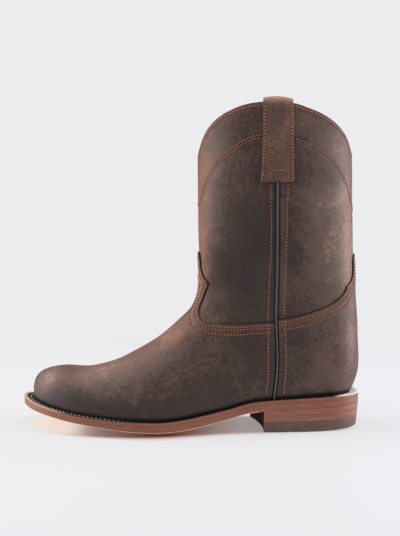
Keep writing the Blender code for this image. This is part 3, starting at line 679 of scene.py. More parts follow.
def on_face(x, z, offset):
    """Place (s, t) whose point at the offset shows at (x, z) from the side, by correction."""
    x, z = np.asarray(x, float), np.asarray(z, float)
    aim_x, aim_z = x.copy(), z.copy()
    for _ in range(6):
        s, t = located(aim_x, aim_z)
        t = np.clip(t, 0.0, 1.0)
        seen = skin(s, t, -1.0, offset)
        aim_x = aim_x - 0.8 * (seen[..., 0] - x)
        aim_z = aim_z - 0.8 * (seen[..., 2] - z)
    return s, t


def even_line(points, step):
    """Smooth line through points, resampled at an even step along its length."""
    points = np.array(points, float)
    length = np.concatenate([[0], np.cumsum(np.linalg.norm(np.diff(points, axis=0), axis=1))])
    fine = np.linspace(0, length[-1], max(int(length[-1] / step), 2) + 1)
    return np.stack([curve(length, points[:, k], fine) for k in range(points.shape[1])], 1)


def outline_distance(x, z, outline):
    """Signed distance to a closed side-view outline, plus inside it: nearest of its edges."""
    flat = np.stack([x.ravel(), z.ravel()], 1)
    start = np.asarray(outline, float)
    end = np.roll(start, -1, axis=0)
    best = np.full(len(flat), 1e9)
    inside = np.zeros(len(flat), bool)
    for p, q in zip(start, end):
        run = q - p
        share = np.clip(((flat - p) @ run) / max(run @ run, 1e-12), 0, 1)
        best = np.minimum(best, np.hypot(*(flat - p - share[:, None] * run).T))
        cross = (p[1] > flat[:, 1]) != (q[1] > flat[:, 1])
        reach = p[0] + (flat[:, 1] - p[1]) / (run[1] if run[1] else 1e-12) * run[0]
        inside ^= cross & (flat[:, 0] < reach)
    return np.where(inside, best, -best).reshape(x.shape)


def on_surface(value, points):
    """A value over its gradient along the surface, so that it counts surface millimetres."""
    u, v = np.gradient(points, axis=0), np.gradient(points, axis=1)
    fu, fv = np.gradient(value, axis=0), np.gradient(value, axis=1)
    e, f, g = (np.sum(p * q, axis=-1) for p, q in ((u, u), (u, v), (v, v)))
    square = (g * fu ** 2 - 2 * f * fu * fv + e * fv ** 2) / np.maximum(e * g - f * f, 1e-9)
    return value / np.sqrt(np.clip(square, 0.02, 1.2))


def traits_of(points, edge):
    """Tone, copper, edge distance, seam distance and height over the welt of leather points."""
    x, z = points[:, 0], points[:, 2]
    # The tone and copper patches include painted highlights on the lit edges and the strap's fold
    tone = mounds(TONE_AND_LIGHT_PATCHES, TONE_COLUMNS, "tone", x, z)
    copper = mounds(TONE_AND_LIGHT_PATCHES, TONE_COLUMNS, "copper", x, z)
    seam = np.where(z > SEAM_TOP + 6, 40.0, x - seam_x(z))
    return {"tone": tone, "copper": copper, "edge": edge, "seam": seam, "low": z - welt_top(x)}


def overlay(name, outline, top_outline, low, high, thick, looks):
    """Overlay cut from the upper's own surface along a side-view outline.

    The grid between the places low and high is cut where the distance to the outline is
    zero; the rim falls in a quarter round from full thickness to a third of it. The finish
    reads the distance to the top edge alone, from the second outline.
    """
    even = np.linspace(0, 1, OVERLAY_ROWS)
    s = low + (high - low) * (0.55 * even + 0.45 * (1 - np.cos(np.pi * even)) / 2)
    a = np.linspace(-1, 1, 2 * UPPER_COLUMNS + 1)
    s, a = (v.copy() for v in np.broadcast_arrays(s[:, None], a[None]))
    face = placed(s, a, GAP + thick)
    edge = on_surface(outline_distance(face[..., 0], face[..., 2], outline), face)
    top = on_surface(outline_distance(face[..., 0], face[..., 2], top_outline), face)
    data = np.stack([s.ravel(), a.ravel(), edge.ravel(), top.ravel()], 1)
    faces = grid_faces(*s.shape)
    near = np.any(data[faces, 2] > -4, axis=1)
    faces = faces[near]
    for level in (0.0, 0.15, RIM):
        data, faces = split(data, faces, 2, level)
    inside = data[faces, 2].mean(axis=1) > 1e-5
    used, faces = np.unique(faces[inside], return_inverse=True)
    data, faces = data[used], faces.reshape(-1, 3)
    edge = data[:, 2]
    fall = np.clip(1 - edge / RIM, 0, 1)
    height = thick * (0.35 + 0.65 * np.sqrt(1 - fall ** 2))
    outer = placed(data[:, 0], data[:, 1], GAP + height)
    inner = placed(data[:, 0], data[:, 1], GAP)
    points, triangles, group, source = shell(outer, inner, faces)
    band = edge[source][triangles].mean(axis=1) < RIM - 0.02
    group = np.where((group == 2) | ((group == 0) & band), 1, 0)
    return built(name, points, triangles, looks, group,
                 traits_of(points, data[source, 3]), crease=60.0)


def vamp_outline():
    """Side-view outlines of the vamp: cut at the side seam, and with its top edge run on."""
    z = np.linspace(97.0, 20.0, 60)
    edge = even_line(VAMP_EDGE, 0.8)
    toe = [(-260.0, -30.0), (-260.0, 161.0)]
    whole = np.concatenate([edge, [(60.0, 105.0), (60.0, -30.0)], toe])
    edge = edge[edge[:, 0] < seam_x(edge[:, 1]) - BEAD_HALF - GAP]
    seam = np.stack([seam_x(z) - BEAD_HALF - GAP, z], 1)
    return np.concatenate([edge, seam, [(-11.0, -30.0)], toe]), whole


def counter_outline():
    """Side-view outlines of the counter: cut at the side seam, and with its top edge run on."""
    z = np.linspace(20.0, 100.0, 60)
    edge = even_line(COUNTER_EDGE, 0.8)
    heel = [(120.0, 159.0), (120.0, -30.0)]
    whole = np.concatenate([[(-70.0, 92.0)], edge, heel, [(-70.0, -30.0)]])
    edge = edge[edge[:, 0] > seam_x(edge[:, 1]) + BEAD_HALF + GAP]
    seam = np.stack([seam_x(z) + BEAD_HALF + GAP, z], 1)
    return np.concatenate([seam, edge, heel, [(-11.0, -30.0)]]), whole


def rounded_place(t):
    """Column angle share r of a fraction t, where t is half of one minus the cosine of r turns."""
    return np.arccos(1 - 2 * np.clip(t, 0, 1)) / np.pi


def at_place(s, r, offset):
    """Point of the skin at s and signed angle share r, which runs on over ridge and back."""
    wrapped = (r + 1) % 2 - 1
    t = (1 - np.cos(np.pi * np.abs(wrapped))) / 2
    return skin(s, t, np.where(wrapped < 0, -1.0, 1.0), offset)


def inset_line(s, r, offset, distance, steps=6):
    """Line moved sideways along the surface, in small steps square to itself."""
    s, r = s.copy(), r.copy()
    h = 1e-3
    for _ in range(steps):
        here = at_place(s, r, offset)
        ps = (at_place(s + h, r, offset) - at_place(s - h, r, offset)) / (2 * h)
        pr = (at_place(s, r + h, offset) - at_place(s, r - h, offset)) / (2 * h)
        run = np.gradient(here, axis=0)
        run /= np.maximum(np.linalg.norm(run, axis=1), 1e-9)[:, None]
        out = at_place(s, r, offset + 1.0) - here
        out /= np.linalg.norm(out, axis=1)[:, None]
        move = np.cross(out, run) * distance / steps
        e, f, g = (np.sum(p * q, axis=1) for p, q in ((ps, ps), (ps, pr), (pr, pr)))
        b1, b2 = np.sum(move * ps, axis=1), np.sum(move * pr, axis=1)
        det = np.maximum(e * g - f * f, 1e-9)
        s += (g * b1 - f * b2) / det
        r += (e * b2 - f * b1) / det
    return s, r


def far_enough(line, other, distance):
    """Rows of a line that keep their distance from another line; drops the loops of an inset."""
    gap = np.full(len(line), 1e9)
    for chunk in np.array_split(other, 8):
        gap = np.minimum(gap, np.linalg.norm(line[:, None] - chunk[None], axis=2).min(axis=1))
    return gap > 0.95 * distance


def stitched(line, out, pitch, length, thread, start=0.5):
    """Places of the stitches of one row: centre, run and outward direction at an even pitch."""
    cut = np.concatenate([[0], np.cumsum(np.linalg.norm(np.diff(line, axis=0), axis=1))])
    count = int((cut[-1] - start) / pitch)
    centre = start + pitch * (np.arange(count) + 0.5)
    ends = [np.stack([np.interp(centre + d, cut, line[:, k]) for k in range(3)], 1)
            for d in (-length / 2, 0.0, length / 2)]
    up = np.stack([np.interp(centre, cut, out[:, k]) for k in range(3)], 1)
    up /= np.linalg.norm(up, axis=1)[:, None]
    whole = np.linalg.norm(ends[2] - ends[0], axis=1) > 0.75 * length
    return [v[whole] for v in (*ends, up)] + [thread]


def thread_mesh(rows, sides=6):
    """All stitches of the rows as one mesh: each a spindle bowed up between its two holes.

    Returns the points, the faces, and the places and outward directions of the holes.
    """
    u = np.array([-0.92, -0.55, 0.0, 0.55, 0.92])
    thick = np.array([0.45, 0.9, 1.0, 0.9, 0.45])
    angle = np.arange(sides) / sides * 2 * np.pi
    points, faces, holes, outs = [], [], [], []
    first = 0
    for back, middle, front, up, thread in rows:
        run = front - back
        half = np.linalg.norm(run, axis=1)[:, None] / 2
        run = run / (2 * half)
        across = np.cross(up, run)
        across /= np.linalg.norm(across, axis=1)[:, None]
        centre = (middle[:, None] + run[:, None] * (half * u)[..., None]
                  + up[:, None] * (thread * (0.55 * (1 - u ** 2) - 0.12))[None, :, None])
        ring = (centre[:, :, None]
                + across[:, None, None] * (0.5 * thread * thick[:, None]
                                           * np.cos(angle))[None, :, :, None]
                + up[:, None, None] * (0.42 * thread * thick[:, None]
                                       * np.sin(angle))[None, :, :, None])
        tips = np.stack([middle - run * half - up * 0.15 * thread,
                         middle + run * half - up * 0.15 * thread], 1)
        block = np.concatenate([ring.reshape(len(up), -1, 3), tips], axis=1)
        each = block.shape[1]
        j = np.arange(sides)
        after = (j + 1) % sides
        ladder = [np.stack([k * sides + j, k * sides + after, (k + 1) * sides + after], 1)
                  for k in range(len(u) - 1)]
        ladder += [np.stack([k * sides + j, (k + 1) * sides + after, (k + 1) * sides + j], 1)
                   for k in range(len(u) - 1)]
        last = (len(u) - 1) * sides
        ladder.append(np.stack([after, j, np.full(sides, each - 2)], 1))
        ladder.append(np.stack([last + j, last + after, np.full(sides, each - 1)], 1))
        one = np.concatenate(ladder)
        shift = first + np.arange(len(up))[:, None, None] * each
        faces.append((one[None] + shift).reshape(-1, 3))
        points.append(block.reshape(-1, 3))
        first += len(up) * each
        holes.append(np.concatenate([tips[:, 0], tips[:, 1]]))
        outs.append(np.concatenate([up, up]))
    return [np.concatenate(part) for part in (points, faces, holes, outs)]


def hole_mesh(places, outs, radius, sides=6):
    """Needle holes as low dark lenses, painted shade in each hole: a ring, a raised middle and a
    sunk middle.
    """
    level = np.where(np.abs(outs[:, [2]]) < 0.9, [[0.0, 0.0, 1.0]], [[1.0, 0.0, 0.0]])
    first = np.cross(outs, level)
    first /= np.linalg.norm(first, axis=1)[:, None]
    second = np.cross(outs, first)
    angle = np.arange(sides) / sides * 2 * np.pi
    ring = (places[:, None] + radius * (first[:, None] * np.cos(angle)[None, :, None]
                                        + second[:, None] * np.sin(angle)[None, :, None]))
    top = places + outs * 0.16
    low = places - outs * 0.25
    block = np.concatenate([ring, top[:, None], low[:, None]], axis=1)
    j = np.arange(sides)
    after = (j + 1) % sides
    one = np.concatenate([np.stack([j, after, np.full(sides, sides)], 1),
                          np.stack([after, j, np.full(sides, sides + 1)], 1)])
    shift = np.arange(len(places))[:, None, None] * (sides + 2)
    return block.reshape(-1, 3), (one[None] + shift).reshape(-1, 3)


def feather_loop(count):
    """Plan outline of the upper's feather as a closed loop, toe tip first, inner side next."""
    s = S_TOE + (S_HEEL - S_TOE) * np.linspace(0, 1, 900) ** 1.6
    t = feather(s)
    inner, outer = form(s, t, 1.0)[:, :2], form(s, t, -1.0)[:, :2]
    inner[0, 1] = outer[0, 1] = section("centre", S_TOE)
    inner[-1, 1] = outer[-1, 1] = section("centre", S_HEEL)
    length = np.concatenate([[0], np.cumsum(np.hypot(*np.diff(inner + outer, axis=0).T / 2)
                                            + np.abs(np.diff(inner[:, 1] - outer[:, 1])) / 2)])
    even = np.linspace(0, length[-1], count + 1)
    place = [[np.interp(even, length, line[:, k]) for k in (0, 1)] for line in (inner, outer)]
    inner, outer = (np.array(p).T for p in place)
    return np.concatenate([inner, outer[-2:0:-1]])


def grown(loop, distance):
    """Loop moved outward by a distance at each point, along its plan normal."""
    run = np.roll(loop, -1, axis=0) - np.roll(loop, 1, axis=0)
    normal = np.stack([run[:, 1], -run[:, 0]], 1)
    normal /= np.linalg.norm(normal, axis=1)[:, None]
    area = np.sum(loop[:, 0] * np.roll(loop[:, 1], -1) - np.roll(loop[:, 0], -1) * loop[:, 1])
    return loop + np.sign(area) * normal * np.reshape(distance, (-1, 1))


def ledge_at(loop, count):
    """Reach of the sole past the upper at each point of a feather loop."""
    inner = np.arange(len(loop)) <= count
    return np.where(inner, looked_up(LEDGE, LEDGE_COLUMNS, "medial", loop[:, 0]),
                    looked_up(LEDGE, LEDGE_COLUMNS, "lateral", loop[:, 0]))


def sole_loop(count, inset=0.0):
    """Outline of the sole: the feather grown by the ledge, less an inset."""
    loop = feather_loop(count)
    return grown(loop, ledge_at(loop, count) - inset)


def two_sides(loop):
    """Outer-side and inner-side points of a loop, both from toe to heel."""
    count = len(loop) // 2
    return np.concatenate([loop[:1], loop[:count - 1:-1]]), loop[:count + 1]


def plan_grid(outer, inner, across):
    """Plan points in straight rows between the two sides."""
    v = (1 - np.cos(np.pi * np.linspace(0, 1, across + 1)))[None, :, None] / 2
    return outer[:, None] * (1 - v) + inner[:, None] * v


def heel_plan(inset, rows, across):
    """Plan grid of the heel from its hollow breast to its back."""
    sides = two_sides(sole_loop(SOLE_STEPS, inset))
    kept = []
    for line, breast in zip(sides, (BREAST_LATERAL, BREAST_MEDIAL)):
        line = line[SOLE_STEPS // 2:]
        length = np.concatenate([[0], np.cumsum(np.hypot(*np.diff(line, axis=0).T))])
        start = np.interp(breast, line[:, 0], length)
        even = start + (length[-1] - start) * np.linspace(0, 1, rows + 1)
        kept.append(np.stack([np.interp(even, length, line[:, k]) for k in (0, 1)], 1))
    plan = plan_grid(*kept, across)
    v = -np.cos(np.pi * np.linspace(0, 1, across + 1))[None]
    fade = np.linspace(1, 0, rows + 1)[:, None] ** 2
    plan[..., 0] += BREAST_HOLLOW * (1 - v ** 2) * fade
    return plan


def heel_height(x, level):
    """Height in the heel stack: 0 is the outsole's underside, 1 the top of the rubber."""
    sole = looked_up(SOLE, SOLE_COLUMNS, "edge_bottom", x) - GAP
    rubber = RUBBER_AT_ORIGIN + RUBBER_SLOPE * x
    return sole + (rubber - sole) * level


def heel_floor(x):
    """Tread of the heel: flat on the floor, then gently up toward the back."""
    return HEEL_RISE * np.clip((x - HEEL_FLAT_END) / HEEL_RISE_LENGTH, 0, 1) ** 1.5


def plate(name, layers, looks, wall_look, traits=None, stained_from=1e9, front_look=None):
    """Solid over a plan: stacked grids, the outer rims joined, top and bottom closed.

    layers is a list of grids (rows, columns, 3) of equal shape, from the top down. Only the
    rims of the grids between the first and the last are used, for the side wall. Past the
    x of stained_from every face takes the first finish; the wall over the first row takes
    the finish front_look.
    """
    rows, columns = layers[0].shape[:2]
    faces = grid_faces(rows, columns)
    top, bottom = layers[0].reshape(-1, 3), layers[-1].reshape(-1, 3)
    i = np.arange(rows * columns).reshape(rows, columns)
    ring = np.concatenate([i[0, :-1], i[:-1, -1], i[-1, :0:-1], i[:0:-1, 0]])
    between = [layer.reshape(-1, 3)[ring] for layer in layers[1:-1]]
    count = len(top)
    points = np.concatenate([top, bottom] + between)
    rims = [ring] + [2 * count + k * len(ring) + np.arange(len(ring))
                     for k in range(len(between))] + [ring + count]
    walls, band = [], []
    for k, (high, low) in enumerate(zip(rims[:-1], rims[1:])):
        nxt_high, nxt_low = np.roll(high, -1), np.roll(low, -1)
        walls += [np.stack([high, low, nxt_low], 1), np.stack([high, nxt_low, nxt_high], 1)]
        wall = np.full(len(ring), wall_look[k])
        if front_look is not None:
            wall[:columns - 1] = front_look
        band += [wall, wall]
    triangles = np.concatenate([faces, faces[:, ::-1] + count] + walls)
    group = np.concatenate([np.repeat([looks[1], looks[2]], len(faces))] + band)
    stained = points[triangles, 0].mean(axis=1) > stained_from
    group = np.where(stained, 0, group)
    kept, triangles, whole = welded(points, triangles)
    return built(name, points[kept], triangles, looks[0], group[whole],
                 {k: v(points[kept]) for k, v in (traits or {}).items()}, crease=50.0)


class Finish:
    """A material's node tree, with short words for the nodes that the finishes use."""

    def __init__(self, name, colour, roughness):
        self.made = bpy.data.materials.new(name)
        self.made.use_nodes = True
        self.tree = self.made.node_tree
        self.shader = self.tree.nodes["Principled BSDF"]
        self.shader.inputs["Base Color"].default_value = (*colour, 1.0)
        self.shader.inputs["Roughness"].default_value = roughness
        self.coords = self.tree.nodes.new("ShaderNodeTexCoord").outputs["Object"]

    def put(self, socket, value):
        """Link a node's output to a socket, or set the socket to a number or colour."""
        if isinstance(value, bpy.types.NodeSocket):
            self.tree.links.new(value, socket)
        elif socket.type == "RGBA":
            socket.default_value = (*value, 1.0)
        else:
            socket.default_value = value

    def given(self, **values):
        """Set or link inputs of the shader, named with _ for a space; returns the material."""
        for key, value in values.items():
            self.put(self.shader.inputs[key.replace("_", " ")], value)
        return self.made

    def noise(self, size, detail=3.0, rough=0.55, warp=0.0, stretch=None):
        """Cloudy noise whose blotches are about size metres across, 0 to 1."""
        node = self.tree.nodes.new("ShaderNodeTexNoise")
        node.inputs["Scale"].default_value = 1.0 / size
        node.inputs["Detail"].default_value = detail
        node.inputs["Roughness"].default_value = rough
        node.inputs["Distortion"].default_value = warp
        self.put(node.inputs["Vector"], self.mapped(stretch))
        return node.outputs["Fac"]

    def cells(self, size, feature="F1"):
        """Distance to the nearest of many scattered points about size metres apart."""
        node = self.tree.nodes.new("ShaderNodeTexVoronoi")
        node.feature = feature
        node.inputs["Scale"].default_value = 1.0 / size
        self.put(node.inputs["Vector"], self.coords)
        return node.outputs["Distance"]

    def mapped(self, stretch):
        """Object coordinates, scaled along each axis where a stretch is given."""
        if stretch is None:
            return self.coords
        node = self.tree.nodes.new("ShaderNodeMapping")
        node.inputs["Scale"].default_value = stretch
        self.put(node.inputs["Vector"], self.coords)
        return node.outputs["Vector"]

    def trait(self, name):
        """Value that the mesh carries under a name."""
        node = self.tree.nodes.new("ShaderNodeAttribute")
        node.attribute_name = name
        return node.outputs["Fac"]

    def sum(self, kind, a, b=0.0, c=0.0):
        """Result of a sum of a named kind, such as ADD or MAXIMUM."""
        node = self.tree.nodes.new("ShaderNodeMath")
        node.operation = kind
        for socket, value in zip(node.inputs, (a, b, c)):
            self.put(socket, value)
        return node.outputs["Value"]

    def between(self, value, low, high, to_low=0.0, to_high=1.0):
        """Smooth step of a value from low to high, run out between two results."""
        node = self.tree.nodes.new("ShaderNodeMapRange")
        node.interpolation_type = "SMOOTHSTEP"
        for key, number in (("Value", value), ("From Min", low), ("From Max", high),
                            ("To Min", to_low), ("To Max", to_high)):
            self.put(node.inputs[key], number)
        return node.outputs["Result"]

    def mix(self, share, a, b):
        """Colour a turned to colour b by a share."""
        node = self.tree.nodes.new("ShaderNodeMix")
        node.data_type = "RGBA"
        self.put(node.inputs[0], share)
        self.put(node.inputs[6], a)
        self.put(node.inputs[7], b)
        return node.outputs[2]

    def ramp(self, value, stops):
        """Colour read off a run of stops, each a place and its colour."""
        node = self.tree.nodes.new("ShaderNodeValToRGB")
        node.color_ramp.interpolation = "EASE"
        marks = node.color_ramp.elements
        while len(marks) < len(stops):
            marks.new(0.5)
        for mark, (place, colour) in zip(marks, stops):
            mark.position = place
            mark.color = (*colour, 1.0)
        self.put(node.inputs["Fac"], value)
        return node.outputs["Color"]

    def bump(self, height, depth, strength=1.0, under=None):
        """Normal of a height 0 to 1 over a depth in metres, on top of the normal under it."""
        node = self.tree.nodes.new("ShaderNodeBump")
        node.inputs["Strength"].default_value = strength
        node.inputs["Distance"].default_value = depth
        self.put(node.inputs["Height"], height)
        if under is not None:
            self.put(node.inputs["Normal"], under)
        return node.outputs["Normal"]


def oiled_leather(name, colours, rows=(), seam=False, lift=0.0):
    """Pull-up leather: a mottled ramp from dark to pale, copper where it is rubbed and as painted
    highlight on lit edges, fine grain.

    The tone is the patch from the table plus two sizes of cloud; rows are edge distances at which
    a stitch row has drawn the leather in, darkened there as painted shade; seam paints the groove
    by the side seam black as painted shade. The lowest millimetres above the welt are painted
    black as shadow.
    """
    look = Finish(name, colours.leather_middle, 0.45)
    cloud = look.noise(0.060, 3.0, 0.55, 0.6)
    blotch = look.noise(0.017, 4.0, 0.62, 0.9)
    speck = look.noise(0.0035, 3.0, 0.6)
    fleck = look.noise(0.0014, 3.0, 0.65)
    # The patch tone holds painted highlights and darker patches as well as the leather's own
    # mottling
    tone = look.sum("ADD", look.trait("tone"), 0.42 + lift)
    tone = look.sum("ADD", tone, look.between(cloud, 0.25, 0.75, -0.10, 0.12))
    tone = look.sum("ADD", tone, look.between(blotch, 0.25, 0.75, -0.055, 0.06))
    tone = look.sum("ADD", tone, look.between(speck, 0.3, 0.7, -0.065, 0.07))
    tone = look.sum("ADD", tone, look.between(fleck, 0.3, 0.7, -0.06, 0.07))
    colour = look.ramp(tone, ((0.0, colours.leather_dark), (0.36, colours.leather_brown),
                              (0.62, colours.leather_middle), (1.0, colours.leather_pale)))
    patchy = look.between(blotch, 0.3, 0.65, 0.35, 0.85)
    # Copper: the pull-up colour, and also a painted highlight on the lit shaft edges and the
    # strap's fold
    copper = look.sum("MULTIPLY", look.trait("copper"), patchy)
    colour = look.mix(copper, colour, colours.leather_copper)
    edge = look.trait("edge")
    worn = look.between(edge, 3.0, 12.0, 0.14, 0.0)
    colour = look.mix(worn, colour, colours.leather_copper)
    # Painted shadow at the foot of the upper: black within a few millimetres above the welt
    painted_foot_shadow = look.between(look.trait("low"), 1.8, 5.0, 1.0, 0.0)
    colour = look.mix(painted_foot_shadow, colour, colours.black_paint_and_shade)
    grain = look.bump(look.cells(0.00095, "SMOOTH_F1"), 0.00016, 0.55)
    wrinkle = look.bump(look.noise(0.0042, 5.0, 0.62, 0.5), 0.0006, 0.22, grain)
    shape = look.bump(look.noise(0.022, 2.0, 0.5), 0.0025, 0.16, wrinkle)
    for place in rows:
        drawn = look.sum("ABSOLUTE", look.sum("SUBTRACT", edge, place))
        shape = look.bump(look.between(drawn, 0.0, 0.9), 0.0005, 0.7, shape)
        # Painted shade: the leather darkens along each stitch row's drawn-in line
        shade = look.between(drawn, 0.2, 0.9, 0.40, 0.0)
        colour = look.mix(shade, colour, colours.leather_dark)
    if seam:
        groove = look.sum("ABSOLUTE", look.trait("seam"))
        # Painted shade: the groove beside the side bead is painted black
        colour = look.mix(look.between(groove, 2.2, 3.0, 1.0, 0.0), colour, colours.black_paint_and_shade)
    gloss = look.between(look.noise(0.028, 3.0, 0.6, 0.4), 0.3, 0.7, 0.50, 0.64)
    gloss = look.sum("ADD", gloss, look.between(speck, 0.3, 0.7, -0.04, 0.05))
    # The painted shadow is also made rough so that it stays dark
    gloss = look.sum("MAXIMUM", gloss, look.sum("MULTIPLY", painted_foot_shadow, 0.95))
    return look.given(Base_Color=colour, Roughness=gloss, Normal=shape,
                      Specular_IOR_Level=0.38)


def shaded(colour, share):
    """A colour times a share."""
    return tuple(share * v for v in colour)


def painted_edge(colours):
    """Black edge paint over cut leather: satin, a little uneven."""
    look = Finish("painted edge", colours.black_paint_and_shade, 0.7)
    rubbed = look.between(look.noise(0.006, 3.0), 0.55, 0.75)
    return look.given(
        Base_Color=look.mix(rubbed, colours.black_paint_and_shade, shaded(colours.black_paint_and_shade, 3.0)),
        Normal=look.bump(look.noise(0.0012, 3.0, 0.6), 0.0002, 0.5),
        Specular_IOR_Level=0.2)


def bead_leather(colours):
    """Tight smooth leather of the side bead: dark sides and a pale painted highlight along the
    crest, under gloss.
    """
    look = Finish("bead leather", colours.leather_dark, 0.32)
    sides = look.mix(look.between(look.noise(0.004, 4.0), 0.35, 0.7),
                     shaded(colours.leather_dark, 0.35), shaded(colours.leather_dark, 0.7))
    return look.given(Base_Color=look.mix(look.trait("crest"), sides, colours.bead_highlight),
                      Normal=look.bump(look.noise(0.0011, 4.0, 0.6), 0.00025, 0.5),
                      Coat_Weight=0.25, Coat_Roughness=0.25)


def lining_leather(colours):
    """Soft undyed lining: pale tan with open pores and faint rubbed patches."""
    look = Finish("lining leather", colours.lining, 0.7)
    patch = look.between(look.noise(0.03, 4.0, 0.6), 0.3, 0.7)
    return look.given(Base_Color=look.mix(patch, shaded(colours.lining, 0.78), colours.lining),
                      Normal=look.bump(look.cells(0.0007), 0.00012, 0.5),
                      Sheen_Weight=0.15, Sheen_Roughness=0.5)


def thread_finish(name, colour):
    """Twisted waxed thread: fine slanted bands and a little fuzz of tone."""
    look = Finish(name, colour, 0.55)
    bands = look.noise(0.0005, 2.0, 0.5, 0.0, (1.0, 1.0, 0.35))
    twist = look.mix(look.between(bands, 0.3, 0.7), shaded(colour, 0.55), colour)
    return look.given(Base_Color=twist, Normal=look.bump(bands, 0.0002, 0.6))


def sole_edge(name, colours, layers=0, lift=1.0):
    """Stained and waxed leather edge: fibres run along it, with fine dark lines between layers."""
    look = Finish(name, colours.sole_edge, 0.4)
    fibre = look.noise(0.0016, 5.0, 0.65, 0.2, (0.12, 0.12, 1.0))
    cloud = look.noise(0.02, 4.0, 0.6, 0.3)
    colour = look.mix(look.between(fibre, 0.3, 0.72), shaded(colours.sole_edge, 0.84),
                      shaded(colours.sole_edge, 1.10 * lift))
    colour = look.mix(look.between(cloud, 0.35, 0.72, 0.0, 0.22), colour,
                      shaded(colours.sole_edge, 0.55))
    relief_of = look.bump(fibre, 0.0001, 0.35)
    if layers:
        wave = look.sum("FRACT", look.sum("MULTIPLY", look.trait("level"), float(layers)))
        line = look.sum("ABSOLUTE", look.sum("SUBTRACT", wave, 0.5))
        deep = look.between(look.trait("back"), 0.0, 1.0, 0.14, 0.34)
        colour = look.mix(look.sum("MULTIPLY", look.between(line, 0.42, 0.49), deep), colour,
                          colours.heel_dark)
        relief_of = look.bump(look.between(line, 0.5, 0.44), 0.0002, 0.3, relief_of)
    return look.given(Base_Color=colour, Normal=relief_of, Specular_IOR_Level=0.4,
                      Roughness=look.between(fibre, 0.3, 0.7, 0.36, 0.5))


def sole_leather(name, colour):
    """Bare vegetable leather of the tread or a raw edge: pale, matt, finely flecked."""
    look = Finish(name, colour, 0.65)
    fleck = look.noise(0.004, 6.0, 0.7, 0.3)
    flecked = look.mix(look.between(fleck, 0.3, 0.7), shaded(colour, 0.7), colour)
    return look.given(Base_Color=flecked, Normal=look.bump(fleck, 0.0003, 0.4))


def welt_rim(colours):
    """Top of the welt: painted shade near black, tan natural leather round the toe, pale behind
    the heel.
    """
    look = Finish("welt rim", colours.rim, 0.65)
    fleck = look.noise(0.004, 6.0, 0.7, 0.3)
    # Painted shade: near black, except round the toe where the welt's top lies out of the shade
    colour = look.mix(look.trait("out_of_shade"), colours.groove, colours.rim)
    colour = look.mix(look.trait("rand"), colour, colours.rand)
    flecked = look.mix(look.between(fleck, 0.3, 0.7, 0.25, 0.0), colour, (0.0, 0.0, 0.0))
    return look.given(Base_Color=flecked, Normal=look.bump(fleck, 0.0003, 0.4))


def rubber_finish(colours):
    """Moulded heel rubber: dull, dusty and speckled, with a fine tooth."""
    look = Finish("heel rubber", colours.rubber, 0.6)
    dust = look.noise(0.009, 5.0, 0.65)
    speck = look.noise(0.0013, 3.0, 0.6)
    colour = look.mix(look.between(dust, 0.4, 0.75, 0.0, 0.5), colours.rubber,
                      shaded(colours.rubber, 1.8))
    colour = look.mix(look.between(speck, 0.52, 0.66, 0.0, 0.45), colour,
                      shaded(colours.rubber, 2.4))
    return look.given(Base_Color=colour,
                      Normal=look.bump(look.noise(0.0008, 3.0), 0.00015, 0.5))


def colour_property(name, description, default):
    """Colour that a user may change."""
    return FloatVectorProperty(name=name, description=description, default=default, size=3,
                               min=0.0, max=1.0, subtype="COLOR")


def length_property(name, description, default):
    """Length that a user may change; its default is in millimetres, its value in metres."""
    return FloatProperty(name=name, description=description, default=default * MM,
                         min=0.0, unit="LENGTH", subtype="DISTANCE", precision=5)


class BootSizes(bpy.types.PropertyGroup):
    """Thicknesses of the leather pieces."""

    wall: length_property("Upper wall", "Thickness of the lined upper", 2.0)
    overlay: length_property("Overlay", "Thickness of the vamp and the counter", 1.2)
    bead: length_property("Bead height", "Height of the side bead over the upper", 2.0)
    strap: length_property("Strap", "Thickness of the pull strap", 1.8)
    welt: length_property("Welt", "Thickness of the welt", WELT)


class StitchSizes(bpy.types.PropertyGroup):
    """Spacing and thickness of the threads."""

    pitch: length_property("Pitch", "Spacing of the upper's stitches", 2.9)
    thread: length_property("Thread", "Thickness of the upper's thread", 1.0)
    welt_pitch: length_property("Welt pitch", "Spacing of the welt stitches", 4.0)
    welt_thread: length_property("Welt thread", "Thickness of the welt thread", 1.0)


